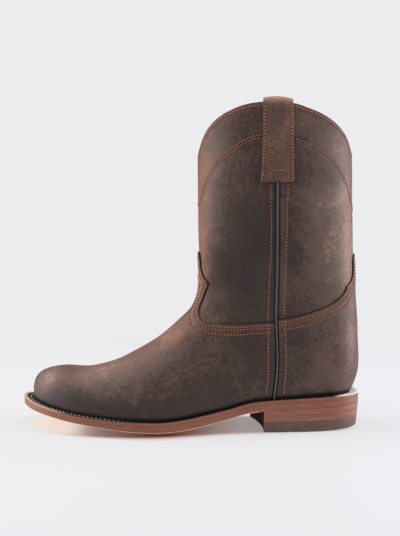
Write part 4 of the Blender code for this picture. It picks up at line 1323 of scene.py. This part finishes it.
class BootColours(bpy.types.PropertyGroup):
    """Colours of the leathers, threads and heel."""

    leather_dark: colour_property("Dark leather", "Darkest tone of the upper",
                                  (0.018, 0.0115, 0.0105))
    leather_brown: colour_property("Brown leather", "Common tone of the upper",
                                   (0.050, 0.029, 0.024))
    leather_middle: colour_property("Middle leather", "Lighter tone of the upper",
                                    (0.125, 0.072, 0.056))
    leather_pale: colour_property("Pale leather", "Palest tone of the upper",
                                  (0.360, 0.225, 0.172))
    # Also the colour of the painted highlights on the lit shaft edges and the strap's fold
    leather_copper: colour_property("Copper leather", "Warm tone where the oil is pushed away",
                                    (0.37, 0.140, 0.072))
    # Black of the cut-edge paint, and also of the painted shade at the upper's foot and beside the
    # side bead
    black_paint_and_shade: colour_property("Edge paint", "Paint on the cut edges", (0.010, 0.008, 0.008))
    # Pale colour of the painted highlight along the side bead's crest
    bead_highlight: colour_property("Bead crest", "Lighter crest of the side bead",
                                (0.155, 0.118, 0.132))
    lining: colour_property("Lining", "Leather inside the boot", (0.38, 0.235, 0.145))
    thread: colour_property("Thread", "Rust thread of the upper", (0.53, 0.205, 0.098))
    welt_thread: colour_property("Welt thread", "Pale thread of the welt", (0.50, 0.43, 0.36))
    sole_edge: colour_property("Sole edge", "Stained edge of sole and heel",
                               (0.31, 0.115, 0.070))
    heel_dark: colour_property("Heel lines", "Dark lines in the heel stack",
                               (0.05, 0.022, 0.016))
    heel_breast: colour_property("Heel breast", "Darkened front face of the heel",
                                 (0.026, 0.011, 0.007))
    rim: colour_property("Welt rim", "Bare rim of the welt round the toe", (0.60, 0.42, 0.33))
    rand: colour_property("Rand", "Pale rim behind the heel", (0.90, 0.82, 0.78))
    # Near black: painted shade in the welt's stitch groove
    groove: colour_property("Welt groove", "Darkened leather in the stitch groove",
                            (0.018, 0.010, 0.008))
    natural: colour_property("Natural leather", "Raw leather of the tread",
                             (0.56, 0.38, 0.23))
    # Natural leather of the trimmed corner, made brighter as a painted highlight of light from the
    # floor
    lit_corner: colour_property("Trimmed corner", "Bare lower corner of the outsole's edge",
                            (0.90, 0.56, 0.31))
    rubber: colour_property("Rubber", "Rubber of the top lift", (0.118, 0.069, 0.053))


class StageSizes(bpy.types.PropertyGroup):
    """Camera lens and light powers."""

    lens: FloatProperty(name="Lens", description="Focal length of the camera in millimetres",
                        default=74.0, min=10.0)
    side_light: FloatProperty(name="Side light", description="Power of each side light",
                              default=13.0, min=0.0, unit="POWER")
    top_light: FloatProperty(name="Top light", description="Power of the light above",
                             default=10.0, min=0.0, unit="POWER")


def sizes():
    """Sizes of the leather pieces that the scene holds."""
    return bpy.context.scene.boot_sizes


def colours():
    """Colours that the scene holds."""
    return bpy.context.scene.boot_colours


def in_mm(value):
    """Millimetres of a value in metres."""
    return value / MM


class BOOT_OT_upper(bpy.types.Operator):
    """Make the hollow upper with its rolled collar edge and lining"""

    bl_idname = "boot.upper"
    bl_label = "Upper"

    def execute(self, context):
        wall = in_mm(sizes().wall)
        foot_rows, ankle_rows, shaft_rows = UPPER_ROWS
        even = np.linspace(0, 1, foot_rows)
        foot = S_TOE + (S_HEEL - S_TOE) * (0.35 * even + 0.65 * (1 - np.cos(np.pi * even)) / 2)
        ankle = np.linspace(S_HEEL, S_ANKLE, ankle_rows + 1)[1:]
        a = np.linspace(-1, 1, 2 * UPPER_COLUMNS + 1)
        top = collar_place(a)[None]
        t = (1 - np.cos(np.pi * np.abs(a))) / 2
        down = 0.002
        step = np.linalg.norm(form(top[0], t, -1.0) - form(top[0] - down, t, -1.0), axis=1)
        per_mm = (down / step)[None]
        lower = np.repeat(np.concatenate([foot, ankle])[:, None], len(a), axis=1)
        share = np.linspace(0, 1, shaft_rows + 1)[1:-1, None]
        shaft = S_ANKLE + share * (top - 2.0 * per_mm - S_ANKLE)
        lip, drawn = np.array(COLLAR_LIP).T[:, :, None]
        s = np.concatenate([lower, shaft, top - lip * per_mm])
        a = np.repeat(a[None], len(s), axis=0)
        fall = np.concatenate([np.zeros((len(s) - len(drawn), 1)), drawn])
        outer = placed(s, a, -fall)
        inner = placed(s, a, -wall + 0.7 * fall)
        below = [(90.0, 245.0), (90.0, 0.0), (-110.0, 0.0), (-110.0, 243.0)]
        outline = np.concatenate([even_line(COLLAR, 1.0), below])
        near, far_away = 60, 30.0
        edge = np.full(s.shape, far_away)
        edge[-near:] = np.maximum(
            outline_distance(outer[-near:, :, 0], outer[-near:, :, 2], outline), 0.0)
        edge[-len(lip):] = lip
        points, faces, group, source = shell(outer.reshape(-1, 3), inner.reshape(-1, 3),
                                             grid_faces(*s.shape))
        traits = traits_of(points, edge.ravel()[source])
        rim = (traits["edge"][faces].mean(axis=1) < 0.5) & (points[faces, 2].mean(axis=1) > 200)
        group = np.where((group == 2) | rim, 2, group)
        look = [oiled_leather("shaft leather", colours(), seam=True),
                lining_leather(colours()), painted_edge(colours())]
        piece = built("boot_upper", points, faces, look, group, traits, crease=60.0)
        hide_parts("upper")
        return {"FINISHED"}


class BOOT_OT_overlays(bpy.types.Operator):
    """Make the vamp and the counter with their tongues and painted edges"""

    bl_idname = "boot.overlays"
    bl_label = "Vamp and counter"

    def execute(self, context):
        thick = in_mm(sizes().overlay)
        edge = painted_edge(colours())
        above_front, above_back = place_at(-76.5, 166.0), place_at(62.0, 166.0)
        before_seam = place_at(-14.0, 27.0) - 0.03
        look = [oiled_leather("vamp leather", colours(), rows=EDGE_ROWS), edge]
        vamp = overlay("boot_vamp", *vamp_outline(), S_TOE, above_front, thick, look)
        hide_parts("vamp")
        look = [oiled_leather("counter leather", colours(), rows=EDGE_ROWS), edge]
        counter = overlay("boot_counter", *counter_outline(), before_seam, above_back, thick,
                          look)
        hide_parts("counter")
        return {"FINISHED"}


class BOOT_OT_piping(bpy.types.Operator):
    """Make the raised bead down each side seam"""

    bl_idname = "boot.piping"
    bl_label = "Side piping"

    def execute(self, context):
        look = [bead_leather(colours())]
        height = in_mm(sizes().bead)
        foot = float(halved(lambda z: z < welt_top(seam_x(z)) + 2 * GAP, 20.0, 40.0))
        z = np.linspace(foot, SEAM_TOP, 220)
        angle = np.linspace(0, np.pi, 11)
        across = np.concatenate([-np.cos(angle), np.linspace(1, -1, 5)[1:-1]]) * BEAD_HALF
        rise = np.concatenate([GAP + (height - GAP) * (0.12 + 0.88 * np.sin(angle) ** 0.8),
                               np.full(3, GAP)])
        for name, side in (("lateral", -1.0), ("medial", 1.0)):
            x = seam_x(z)[:, None] + across[None]
            s, t = located(x, z[:, None] + 0 * x)
            rings = skin(s, t, side, (rise[None] + 0 * x).ravel()).reshape(*x.shape, 3)
            points, faces = swept(rings)
            lean = (points[:, 0] - seam_x(points[:, 2])) / BEAD_HALF
            # crest marks the painted highlight, a little toward the heel from the bead's middle
            piece = built("boot_piping_" + name, points, faces, look, crease=70.0,
                          traits={"crest": np.exp(-((lean - 0.3) / 0.42) ** 2)})
            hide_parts("piping_" + name)
        return {"FINISHED"}


def strap_edge_x(z, u):
    """Side-view x between the strap's two edges at a height; u runs from front to back."""
    return (looked_up(STRAP_EDGES, STRAP_COLUMNS, "front", z) * (1 - u)
            + looked_up(STRAP_EDGES, STRAP_COLUMNS, "back", z) * u)


def strap_layer(side, u, grow, wall):
    """Grid of one face of the strap: up the outside, over the collar, down the inside."""
    low = STRAP_EDGES[0][0]
    crest_x = strap_edge_x(np.full((1, 1), 290.0), u)
    crest = looked_up(COLLAR, COLLAR_COLUMNS, "z", crest_x)
    outside = low + np.linspace(0, 1, 70)[:, None] * (crest - low)
    inside = crest - np.linspace(0, 1, 30)[1:, None] * STRAP_INSIDE
    angle = np.linspace(0, np.pi, 26)[:, None]
    half = 0.5 * (wall + GAP + STRAP_INNER_GAP)
    centre = GAP - half
    parts = []
    x = strap_edge_x(outside, u)
    s, t = located(x, outside)
    parts.append(skin(s, t, side, (GAP + grow + 0 * x).ravel()).reshape(*x.shape, 3))
    s, t = located(crest_x + 0 * angle, crest + 0 * angle)
    shift = (centre + (half + grow) * np.cos(angle) + 0 * crest).ravel()
    loop = skin(s, t, side, shift).reshape(len(angle), -1, 3)
    loop[..., 2] += (STRAP_LOOP + grow) * np.sin(angle)
    parts.append(loop[1:])
    x = crest_x + 0 * inside
    s, t = located(x, inside)
    inner = (-wall - STRAP_INNER_GAP - grow + 0 * x).ravel()
    parts.append(skin(s, t, side, inner).reshape(*x.shape, 3))
    return np.concatenate(parts)


class BOOT_OT_straps(bpy.types.Operator):
    """Make the two folded pull straps"""

    bl_idname = "boot.straps"
    bl_label = "Pull straps"

    def execute(self, context):
        thick, wall = in_mm(sizes().strap), in_mm(sizes().wall)
        u = np.array([0, 0.008, 0.02, 0.04, 0.07, 0.11, 0.16, 0.22, 0.3, 0.4, 0.5])
        u = np.concatenate([u, 1 - u[-2::-1]])[None]
        inward = np.minimum(u, 1 - u) * 27.0
        rounding = thick * (0.25 + 0.75 * np.sqrt(1 - np.clip(1 - inward / 0.6, 0, 1) ** 2))
        puff = 0.35 * smooth((inward - 3.5) / 5.0) - 0.18 * np.exp(-((inward - 1.8) / 0.9) ** 2)
        look = [oiled_leather("strap leather", colours(), lift=0.16), painted_edge(colours())]
        for name, side in (("lateral", -1.0), ("medial", 1.0)):
            outer = strap_layer(side, u, rounding + puff, wall)
            inner = strap_layer(side, u, 0.0 * u, wall)
            rows, columns = outer.shape[:2]
            edge = np.broadcast_to(inward, (rows, columns)).ravel()
            points, faces, group, source = shell(outer.reshape(-1, 3), inner.reshape(-1, 3),
                                                 grid_faces(rows, columns))
            traits = traits_of(points, edge[source])
            band = traits["edge"][faces].mean(axis=1) < 0.30
            group = np.where((group == 2) | ((group == 0) & band), 1, 0)
            piece = built("boot_strap_" + name, points, faces, look, group, traits, crease=60.0)
            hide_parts("strap_" + name)
        return {"FINISHED"}


class BOOT_OT_welt(bpy.types.Operator):
    """Make the welt: a ledge with a stitch groove, trimmed at its outer edge"""

    bl_idname = "boot.welt"
    bl_label = "Welt"

    def execute(self, context):
        thick = in_mm(sizes().welt)
        loop = feather_loop(SOLE_STEPS)
        reach = ledge_at(loop, SOLE_STEPS)
        rings = []
        for share, drop in WELT_PROFILE:
            plan = grown(loop, np.full(len(loop), -WELT_LAP) if share is None else reach * share)
            height = welt_top(plan[:, 0]) - (thick if drop is None else drop)
            rings.append(np.stack([plan[:, 0], plan[:, 1], height], 1))
        rings = np.stack(rings, axis=1)
        points, faces = swept(rings, closed=True)
        step = (np.arange(len(faces)) % (len(faces) // 2)) % rings.shape[1]
        heel = points[faces].mean(axis=1)[:, 0] > 40.0
        rim = (step >= 1) & (step <= np.where(heel, 9, 3))
        # The stitch groove's faces take the near-black groove colour, painted shade
        group = np.where(rim, 1, np.where((step >= 4) & (step <= 10), 2, 0))
        traits = {"out_of_shade": smooth((-190.0 - points[:, 0]) / 22.0),
                  "rand": smooth((points[:, 0] - 42.0) / 10.0)}
        look = [sole_edge("welt edge", colours()), welt_rim(colours()),
                sole_leather("welt groove", colours().groove)]
        piece = built("boot_welt", points, faces, look, group, traits, crease=55.0)
        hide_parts("welt")
        return {"FINISHED"}


class BOOT_OT_sole(bpy.types.Operator):
    """Make the leather outsole and the insole"""

    bl_idname = "boot.sole"
    bl_label = "Outsole and insole"

    def execute(self, context):
        layers = []
        for drop, inset in OUTSOLE_LAYERS:
            plan = plan_grid(*two_sides(sole_loop(SOLE_STEPS, inset)), SOLE_ACROSS)
            x = plan[..., 0]
            top = welt_top(x) - WELT - 0.04
            edge = looked_up(SOLE, SOLE_COLUMNS, "edge_bottom", x)
            v = np.abs(np.cos(np.pi * np.linspace(0, 1, SOLE_ACROSS + 1)))[None]
            lift = np.clip((v - FLAT_HALF) / (1 - FLAT_HALF), 0, 1) ** 2
            middle = np.maximum(looked_up(SOLE, SOLE_COLUMNS, "middle_bottom", x), 0.0)
            low = middle + (edge - middle) * lift
            z = top if drop == 0.0 else (low if drop == 1.0 else top + (edge - top) * drop)
            layers.append(np.stack([x, plan[..., 1], z], -1))
        looks = [sole_edge("sole edge", colours()),
                 sole_leather("tread leather", colours().natural),
                 # Trimmed corner: natural leather brightened as a painted highlight
                 sole_leather("trimmed corner", colours().lit_corner)]
        piece = plate("boot_outsole", layers, (looks, 0, 1), (0, 0, 2, 1), stained_from=-24.0)
        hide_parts("outsole")
        layers = []
        for drop, inset in ((0.0, 0.8), (0.6, 0.0), (WELT, 0.0)):
            loop = grown(feather_loop(INSOLE_STEPS), -WELT_LAP - GAP - inset)
            plan = plan_grid(*two_sides(loop), INSOLE_ACROSS)
            layers.append(np.stack([plan[..., 0], plan[..., 1],
                                    welt_top(plan[..., 0]) - drop], -1))
        piece = plate("boot_insole", layers, ([lining_leather(colours())], 0, 0), (0, 0))
        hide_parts("insole")
        return {"FINISHED"}


class BOOT_OT_heel(bpy.types.Operator):
    """Make the stacked leather heel and its rubber top lift"""

    bl_idname = "boot.heel"
    bl_label = "Heel"

    def execute(self, context):
        reach = HEEL_TOP - RUBBER_AT_ORIGIN
        stack = sole_edge("heel stack", colours(), layers=4, lift=1.25)
        breast = Finish("heel breast", colours().heel_breast, 0.85)
        breast = breast.given(Specular_IOR_Level=0.12)

        def plan_at(height, inset):
            taper = HEEL_TAPER * (1 - height / HEEL_TAPER_HEIGHT)
            return heel_plan(taper + inset, *HEEL_STEPS)

        def level_of(points):
            full = heel_height(points[:, 0], 0.0) - heel_height(points[:, 0], 1.0)
            return (heel_height(points[:, 0], 0.0) - points[:, 2]) / full

        def back_of(points):
            return smooth((points[:, 0] - 10.0) / 45.0)

        for k in range(LIFTS):
            top_level, bottom_level = k / LIFTS, (k + 1) / LIFTS
            closed = GAP - CLOSED_BY if k == 0 else -CLOSED_BY
            layers = []
            for share, inset in LIFT_LAYERS:
                level = top_level + (bottom_level - top_level) * share
                plan = plan_at(HEEL_TOP - reach * level, inset)
                x = plan[..., 0]
                z = heel_height(x, level) + closed * (1 - share)
                layers.append(np.stack([x, plan[..., 1], z], -1))
            name = "heel_lift_%d" % (k + 1)
            piece = plate("boot_" + name, layers, ([stack, breast], 0, 0), (0, 0, 0, 0),
                          {"level": level_of, "back": back_of}, front_look=1)
            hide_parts(name)
        layers = []
        for share, inset in RUBBER_LAYERS:
            plan = plan_at(RUBBER_AT_ORIGIN * (1 - share), inset)
            x = plan[..., 0]
            top, low = heel_height(x, 1.0) - CLOSED_BY, heel_floor(x)
            layers.append(np.stack([x, plan[..., 1], top + (low - top) * share], -1))
        piece = plate("boot_top_lift", layers, ([rubber_finish(colours()), breast], 0, 0),
                      (0, 0, 0, 0), front_look=1)
        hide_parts("top_lift")
        return {"FINISHED"}


def line_on(points, side, offset, step=0.5):
    """Row in space over a side-view line: its points and outward directions."""
    line = even_line(points, step)
    s, t = on_face(line[:, 0], line[:, 1], offset)
    here = skin(s, t, side, offset)
    return here, skin(s, t, side, offset + 1.0) - here


def edge_places(points, offset):
    """Places (s, r) of an overlay's edge line, seen from the side."""
    line = even_line(points, 0.7)
    s, t = on_face(line[:, 0], line[:, 1], offset)
    return s, rounded_place(t)


class BOOT_OT_stitching(bpy.types.Operator):
    """Sew the rows of thread on the upper and the welt, with their needle holes"""

    bl_idname = "boot.stitching"
    bl_label = "Stitching"

    def execute(self, context):
        threads = context.scene.boot_stitches
        pitch = in_mm(threads.pitch)
        sewn = (pitch, 0.70 * pitch, in_mm(threads.thread))
        face = GAP + in_mm(sizes().overlay)
        strap_face = GAP + in_mm(sizes().strap)
        vamp, counter, shaft, straps = [], [], [], []

        s, r = edge_places(VAMP_EDGE[1:], face)
        s = np.concatenate([s[::-1], s])
        r = np.concatenate([r[::-1], -r])
        for distance in EDGE_ROWS:
            self.inset_rows(vamp, s, r, face, distance, sewn)
        s, r = edge_places(COUNTER_EDGE[:-2], face)
        s = np.concatenate([s, s[::-1]])
        r = np.concatenate([r, 2.0 - r[::-1]])
        for distance in EDGE_ROWS:
            self.inset_rows(counter, s, r, face, distance, sewn)

        for side in (-1.0, 1.0):
            for row, group, ends in zip(SEAM_ROWS, (vamp, counter), SEAM_ROW_ENDS):
                line = even_line(row, 0.5)
                z = line[:, 1]
                high = line[(z > ends[1]) & (z < STRAP_FOOT_ENDS[0])]
                low = line[z < ends[0]]
                top = line[z > STRAP_FOOT_ENDS[1]]
                for part, offset, rows in ((high, 0.0, shaft), (low, face, group),
                                           (top, strap_face + 0.1, straps)):
                    here, out = line_on(part, side, offset)
                    rows.append(stitched(here, out, *sewn))
            for shift in (-ARCH_HALF, ARCH_HALF):
                self.shaft_row(shaft, ARCH, side, shift, sewn)
            self.shaft_row(shaft, COLLAR[2:-1], side, COLLAR_ROW * side, sewn)
            self.strap_rows(straps, side, strap_face, sewn)

        rust = thread_finish("rust thread", colours().thread)
        holes, outs = [], []
        for name, rows, slot in (("vamp", vamp, "vamp"), ("counter", counter, "counter"),
                                 ("shaft", shaft, "upper"), ("straps", straps, "strap")):
            points, faces, places, ups = thread_mesh(rows)
            piece = built("stitching_" + name, points, faces, [rust], crease=180.0)
            holes.append(places)
            outs.append(ups)
        points, faces = hole_mesh(np.concatenate(holes), np.concatenate(outs), 0.62)
        # Near-black lenses: painted shade in the needle holes
        dark = Finish("needle hole", (0.006, 0.004, 0.004), 0.9).made
        piece = built("needle_holes", points, faces, [dark], crease=180.0)
        self.welt_row(threads)
        return {"FINISHED"}

    def inset_rows(self, rows, s, r, face, distance, sewn):
        """One row of stitches at a distance inside an overlay's edge, open at the side seam."""
        base = at_place(s, r, face)
        new_s, new_r = inset_line(s, r, face, distance)
        here = at_place(new_s, new_r, face)
        if np.mean(here[:, 2] - base[:, 2]) > 0:
            new_s, new_r = inset_line(s, r, face, -distance)
            here = at_place(new_s, new_r, face)
        out = at_place(new_s, new_r, face + 1.0) - here
        clear = np.abs(here[:, 0] - seam_x(here[:, 2])) > BESIDE_SEAM
        kept = far_enough(here, base, distance) & clear
        rows.append(stitched(here[kept], out[kept], *sewn))

    def shaft_row(self, rows, points, side, shift, sewn):
        """A row beside a side-view line on the shaft, in front of the strap and behind it."""
        line = even_line(points, 0.6)
        s, t = on_face(line[:, 0], line[:, 1], 0.0)
        s, r = inset_line(s, rounded_place(t) * side, 0.0, shift, 3)
        here = at_place(s, r, 0.0)
        out = at_place(s, r, 1.0) - here
        for part in (here[:, 0] < BESIDE_STRAP[0], here[:, 0] > BESIDE_STRAP[1]):
            rows.append(stitched(here[part], out[part], *sewn))

    def strap_rows(self, rows, side, face, sewn):
        """Two rows up the strap's edges and one across its foot."""
        z = np.linspace(222.8, 287.0, 120)
        for inward in (1.8, -1.8):
            x = strap_edge_x(z, float(inward < 0)) + inward
            s, t = located(x, z)
            here = skin(s, t, side, face)
            rows.append(stitched(here, skin(s, t, side, face + 1.0) - here, *sewn))
        x = np.linspace(-14.6, -1.2, 40)
        s, t = located(x, np.full_like(x, 231.5))
        here = skin(s, t, side, face + 0.3)
        rows.append(stitched(here, skin(s, t, side, face + 1.0) - here, *sewn))

    def welt_row(self, threads):
        """Heavy pale stitches in the welt's groove round the toe, drawn in toward the waist."""
        loop = feather_loop(SOLE_STEPS)
        plan = grown(loop, 0.40 * ledge_at(loop, SOLE_STEPS))
        half = len(plan) // 2
        order = np.concatenate([np.arange(half, len(plan)), np.arange(0, half)])
        plan = plan[order]
        plan = plan[plan[:, 0] < WELT_ROW_END]
        sunk = 0.42 + 0.80 * smooth((plan[:, 0] + 165.0) / 50.0)
        line = np.stack([plan[:, 0], plan[:, 1], welt_top(plan[:, 0]) - sunk], 1)
        out = np.zeros_like(line)
        out[:, 2] = 1.0
        pitch, thread = in_mm(threads.welt_pitch), in_mm(threads.welt_thread)
        row = stitched(line, out, pitch, 0.74 * pitch, thread)
        points, faces, _, _ = thread_mesh([row])
        pale = thread_finish("welt thread", colours().welt_thread)
        piece = built("stitching_welt", points, faces, [pale], crease=180.0)


class BOOT_OT_stage(bpy.types.Operator):
    """Set up the floor, the soft lights and the camera"""

    bl_idname = "boot.stage"
    bl_label = "Stage"

    def execute(self, context):
        stage = context.scene.boot_stage
        scene = context.scene
        scene.view_settings.view_transform = "Standard"
        self.floor()
        self.world(scene)
        for name, place, size, power, tint in (
                ("left light", (-1.10, 0.10, 0.55), (0.9, 1.3), stage.side_light, PLAIN_LIGHT),
                ("right light", (1.00, 0.05, 0.60), (0.9, 1.3), 1.25 * stage.side_light,
                 COOL_LIGHT),
                ("top light", (-0.10, -0.15, 1.45), (1.2, 0.9), stage.top_light, PLAIN_LIGHT)):
            light = bpy.data.lights.new(name, "AREA")
            light.shape = "RECTANGLE"
            light.size, light.size_y = size
            light.energy = power
            light.color = tint
            self.aimed(scene, name, light, place, LIGHT_AIM)
        camera = bpy.data.cameras.new("camera")
        camera.lens = stage.lens
        camera.sensor_width = 36.0
        camera.clip_start = 0.01
        scene.camera = self.aimed(scene, "camera", camera, CAMERA_PLACE, CAMERA_AIM)
        return {"FINISHED"}

    def aimed(self, scene, name, data, place, target):
        """Put a light or the camera at its place, turned toward its target."""
        thing = bpy.data.objects.new(name, data)
        scene.collection.objects.link(thing)
        thing.location = place
        aim = Vector(target) - Vector(place)
        thing.rotation_euler = aim.to_track_quat("-Z", "Y").to_euler()
        return thing

    def floor(self):
        """Pale floor that thins out to the background, with the sole's painted shadow and
        reflection close by.

        The painted shadow and reflection fall with the plan distance d to the sole, with the
        sole's height h over the floor, and toward toe and heel: exp(-(d / w) ** 2) / (1 + h / 16)
        * ends, in millimetres, with w = 5 + 5 * exp(-((x + 108) / 42) ** 2), widest under the
          ball. Under the
        toe, where the sole lifts off, a painted light patch in the floor's own light keeps it
        pale.
        """
        count = 192
        angle = np.linspace(0, 2 * np.pi, count + 1)[:-1]
        radius = np.concatenate([np.linspace(0.004, 0.24, 80), np.linspace(0.26, 3.0, 40)])
        ring = np.stack([np.cos(angle), np.sin(angle)], 1)
        points = np.concatenate([np.concatenate([r * ring, np.zeros((count, 1))], 1)
                                 for r in radius])
        points[:, 0] += MIDDLE_X
        i, j = np.meshgrid(np.arange(len(radius) - 1), np.arange(count), indexing="ij")
        a, b = i * count + j, i * count + (j + 1) % count
        faces = np.stack([a, a + count, b + count, b], -1).reshape(-1, 4).tolist()
        mesh = bpy.data.meshes.new("floor")
        mesh.from_pydata(points.tolist(), [], faces + [list(range(count))])
        x = points[:, 0] / MM
        away = -outline_distance(x, points[:, 1] / MM, sole_loop(90)[::2])
        height = np.maximum(looked_up(SOLE, SOLE_COLUMNS, "edge_bottom", x) - 3.0, 0.0)
        ends = smooth((x + 230.0) / 72.0) * smooth((20.0 - x) / 30.0)
        width = 5.0 + 5.0 * np.exp(-((x + 108.0) / 42.0) ** 2)
        # Painted contact shadow of the sole on the floor, which also carries its painted warm
        # reflection
        sole_shadow_and_reflection = ends * np.exp(-(np.maximum(away + 3.0, 0.0) / width) ** 2) / (1 + height / 16.0)
        # Painted light: under the raised toe the floor's own light goes up and takes out the toe's
        # shadow
        toe_light_patch = smooth((-172.0 - x) / 26.0) * smooth((4.0 - away) / 14.0)
        give_traits(mesh, {"sole_shadow_and_reflection": sole_shadow_and_reflection, "toe_light_patch": toe_light_patch})
        floor = bpy.data.objects.new("floor", mesh)
        bpy.context.scene.collection.objects.link(floor)
        look = Finish("floor", FLOOR_PLAIN, 0.6)
        # The floor's colour and own light go dark and orange here: painted shadow and reflection
        # of the sole
        sole_shadow_and_reflection = look.trait("sole_shadow_and_reflection")
        light = look.mix(sole_shadow_and_reflection, FLOOR_LIGHT, FLOOR_LIGHT_IN_SHADOW)
        length = look.tree.nodes.new("ShaderNodeVectorMath")
        length.operation = "LENGTH"
        centred = look.tree.nodes.new("ShaderNodeMapping")
        centred.inputs["Location"].default_value = (-MIDDLE_X, 0.0, 0.0)
        look.put(centred.inputs["Vector"], look.coords)
        look.put(length.inputs[0], centred.outputs["Vector"])
        look.given(Base_Color=look.mix(sole_shadow_and_reflection, FLOOR_PLAIN, FLOOR_SHADOW_REFLECTION),
                   # Painted light patch under the toe, in the floor's own light
                   Emission_Color=look.mix(look.trait("toe_light_patch"), light, FLOOR_LIGHT_TOE),
                   Emission_Strength=1.0, Specular_IOR_Level=0.2,
                   Alpha=look.between(length.outputs["Value"], 0.30, 0.80, 1.0, 0.0))
        mesh.materials.append(look.made)

    def world(self, scene):
        """Even pale surroundings, a little dimmer for the light that they cast."""
        scene.world = bpy.data.worlds.new("studio")
        scene.world.use_nodes = True
        tree = scene.world.node_tree
        background = tree.nodes["Background"]
        background.inputs["Color"].default_value = (0.840, 0.840, 0.855, 1.0)
        seen = tree.nodes.new("ShaderNodeLightPath")
        spread = tree.nodes.new("ShaderNodeMapRange")
        tree.links.new(seen.outputs["Is Camera Ray"], spread.inputs["Value"])
        spread.inputs["To Min"].default_value = 0.42
        spread.inputs["To Max"].default_value = 1.0
        tree.links.new(spread.outputs["Result"], background.inputs["Strength"])


STEPS = (BOOT_OT_stage, BOOT_OT_upper, BOOT_OT_overlays, BOOT_OT_piping, BOOT_OT_straps,
         BOOT_OT_welt, BOOT_OT_sole, BOOT_OT_heel, BOOT_OT_stitching)
GROUPS = (("boot_sizes", BootSizes), ("boot_stitches", StitchSizes),
          ("boot_colours", BootColours), ("boot_stage", StageSizes))


class BOOT_PT_panel(bpy.types.Panel):
    """Sizes, colours and steps of the boot"""

    bl_idname = "BOOT_PT_panel"
    bl_label = "Roper boot"
    bl_space_type = "VIEW_3D"
    bl_region_type = "UI"
    bl_category = "Boot"

    def draw(self, context):
        for name, group in GROUPS:
            box = self.layout.box()
            for key in group.__annotations__:
                box.prop(getattr(context.scene, name), key)
        for step in STEPS:
            self.layout.operator(step.bl_idname)


CLASSES = (BootSizes, StitchSizes, BootColours, StageSizes) + STEPS + (BOOT_PT_panel,)


def register():
    """Make the sizes, the steps and the panel known to Blender."""
    for kind in CLASSES:
        bpy.utils.register_class(kind)
    for name, group in GROUPS:
        setattr(bpy.types.Scene, name, PointerProperty(type=group))


def unregister():
    """Take them out again."""
    for name, _ in GROUPS:
        delattr(bpy.types.Scene, name)
    for kind in reversed(CLASSES):
        bpy.utils.unregister_class(kind)


def main():
    """Run the steps in order."""
    register()
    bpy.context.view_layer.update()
    for step in STEPS:
        group, _, name = step.bl_idname.partition(".")
        getattr(getattr(bpy.ops, group), name)()


if __name__ == "__main__":
    main()
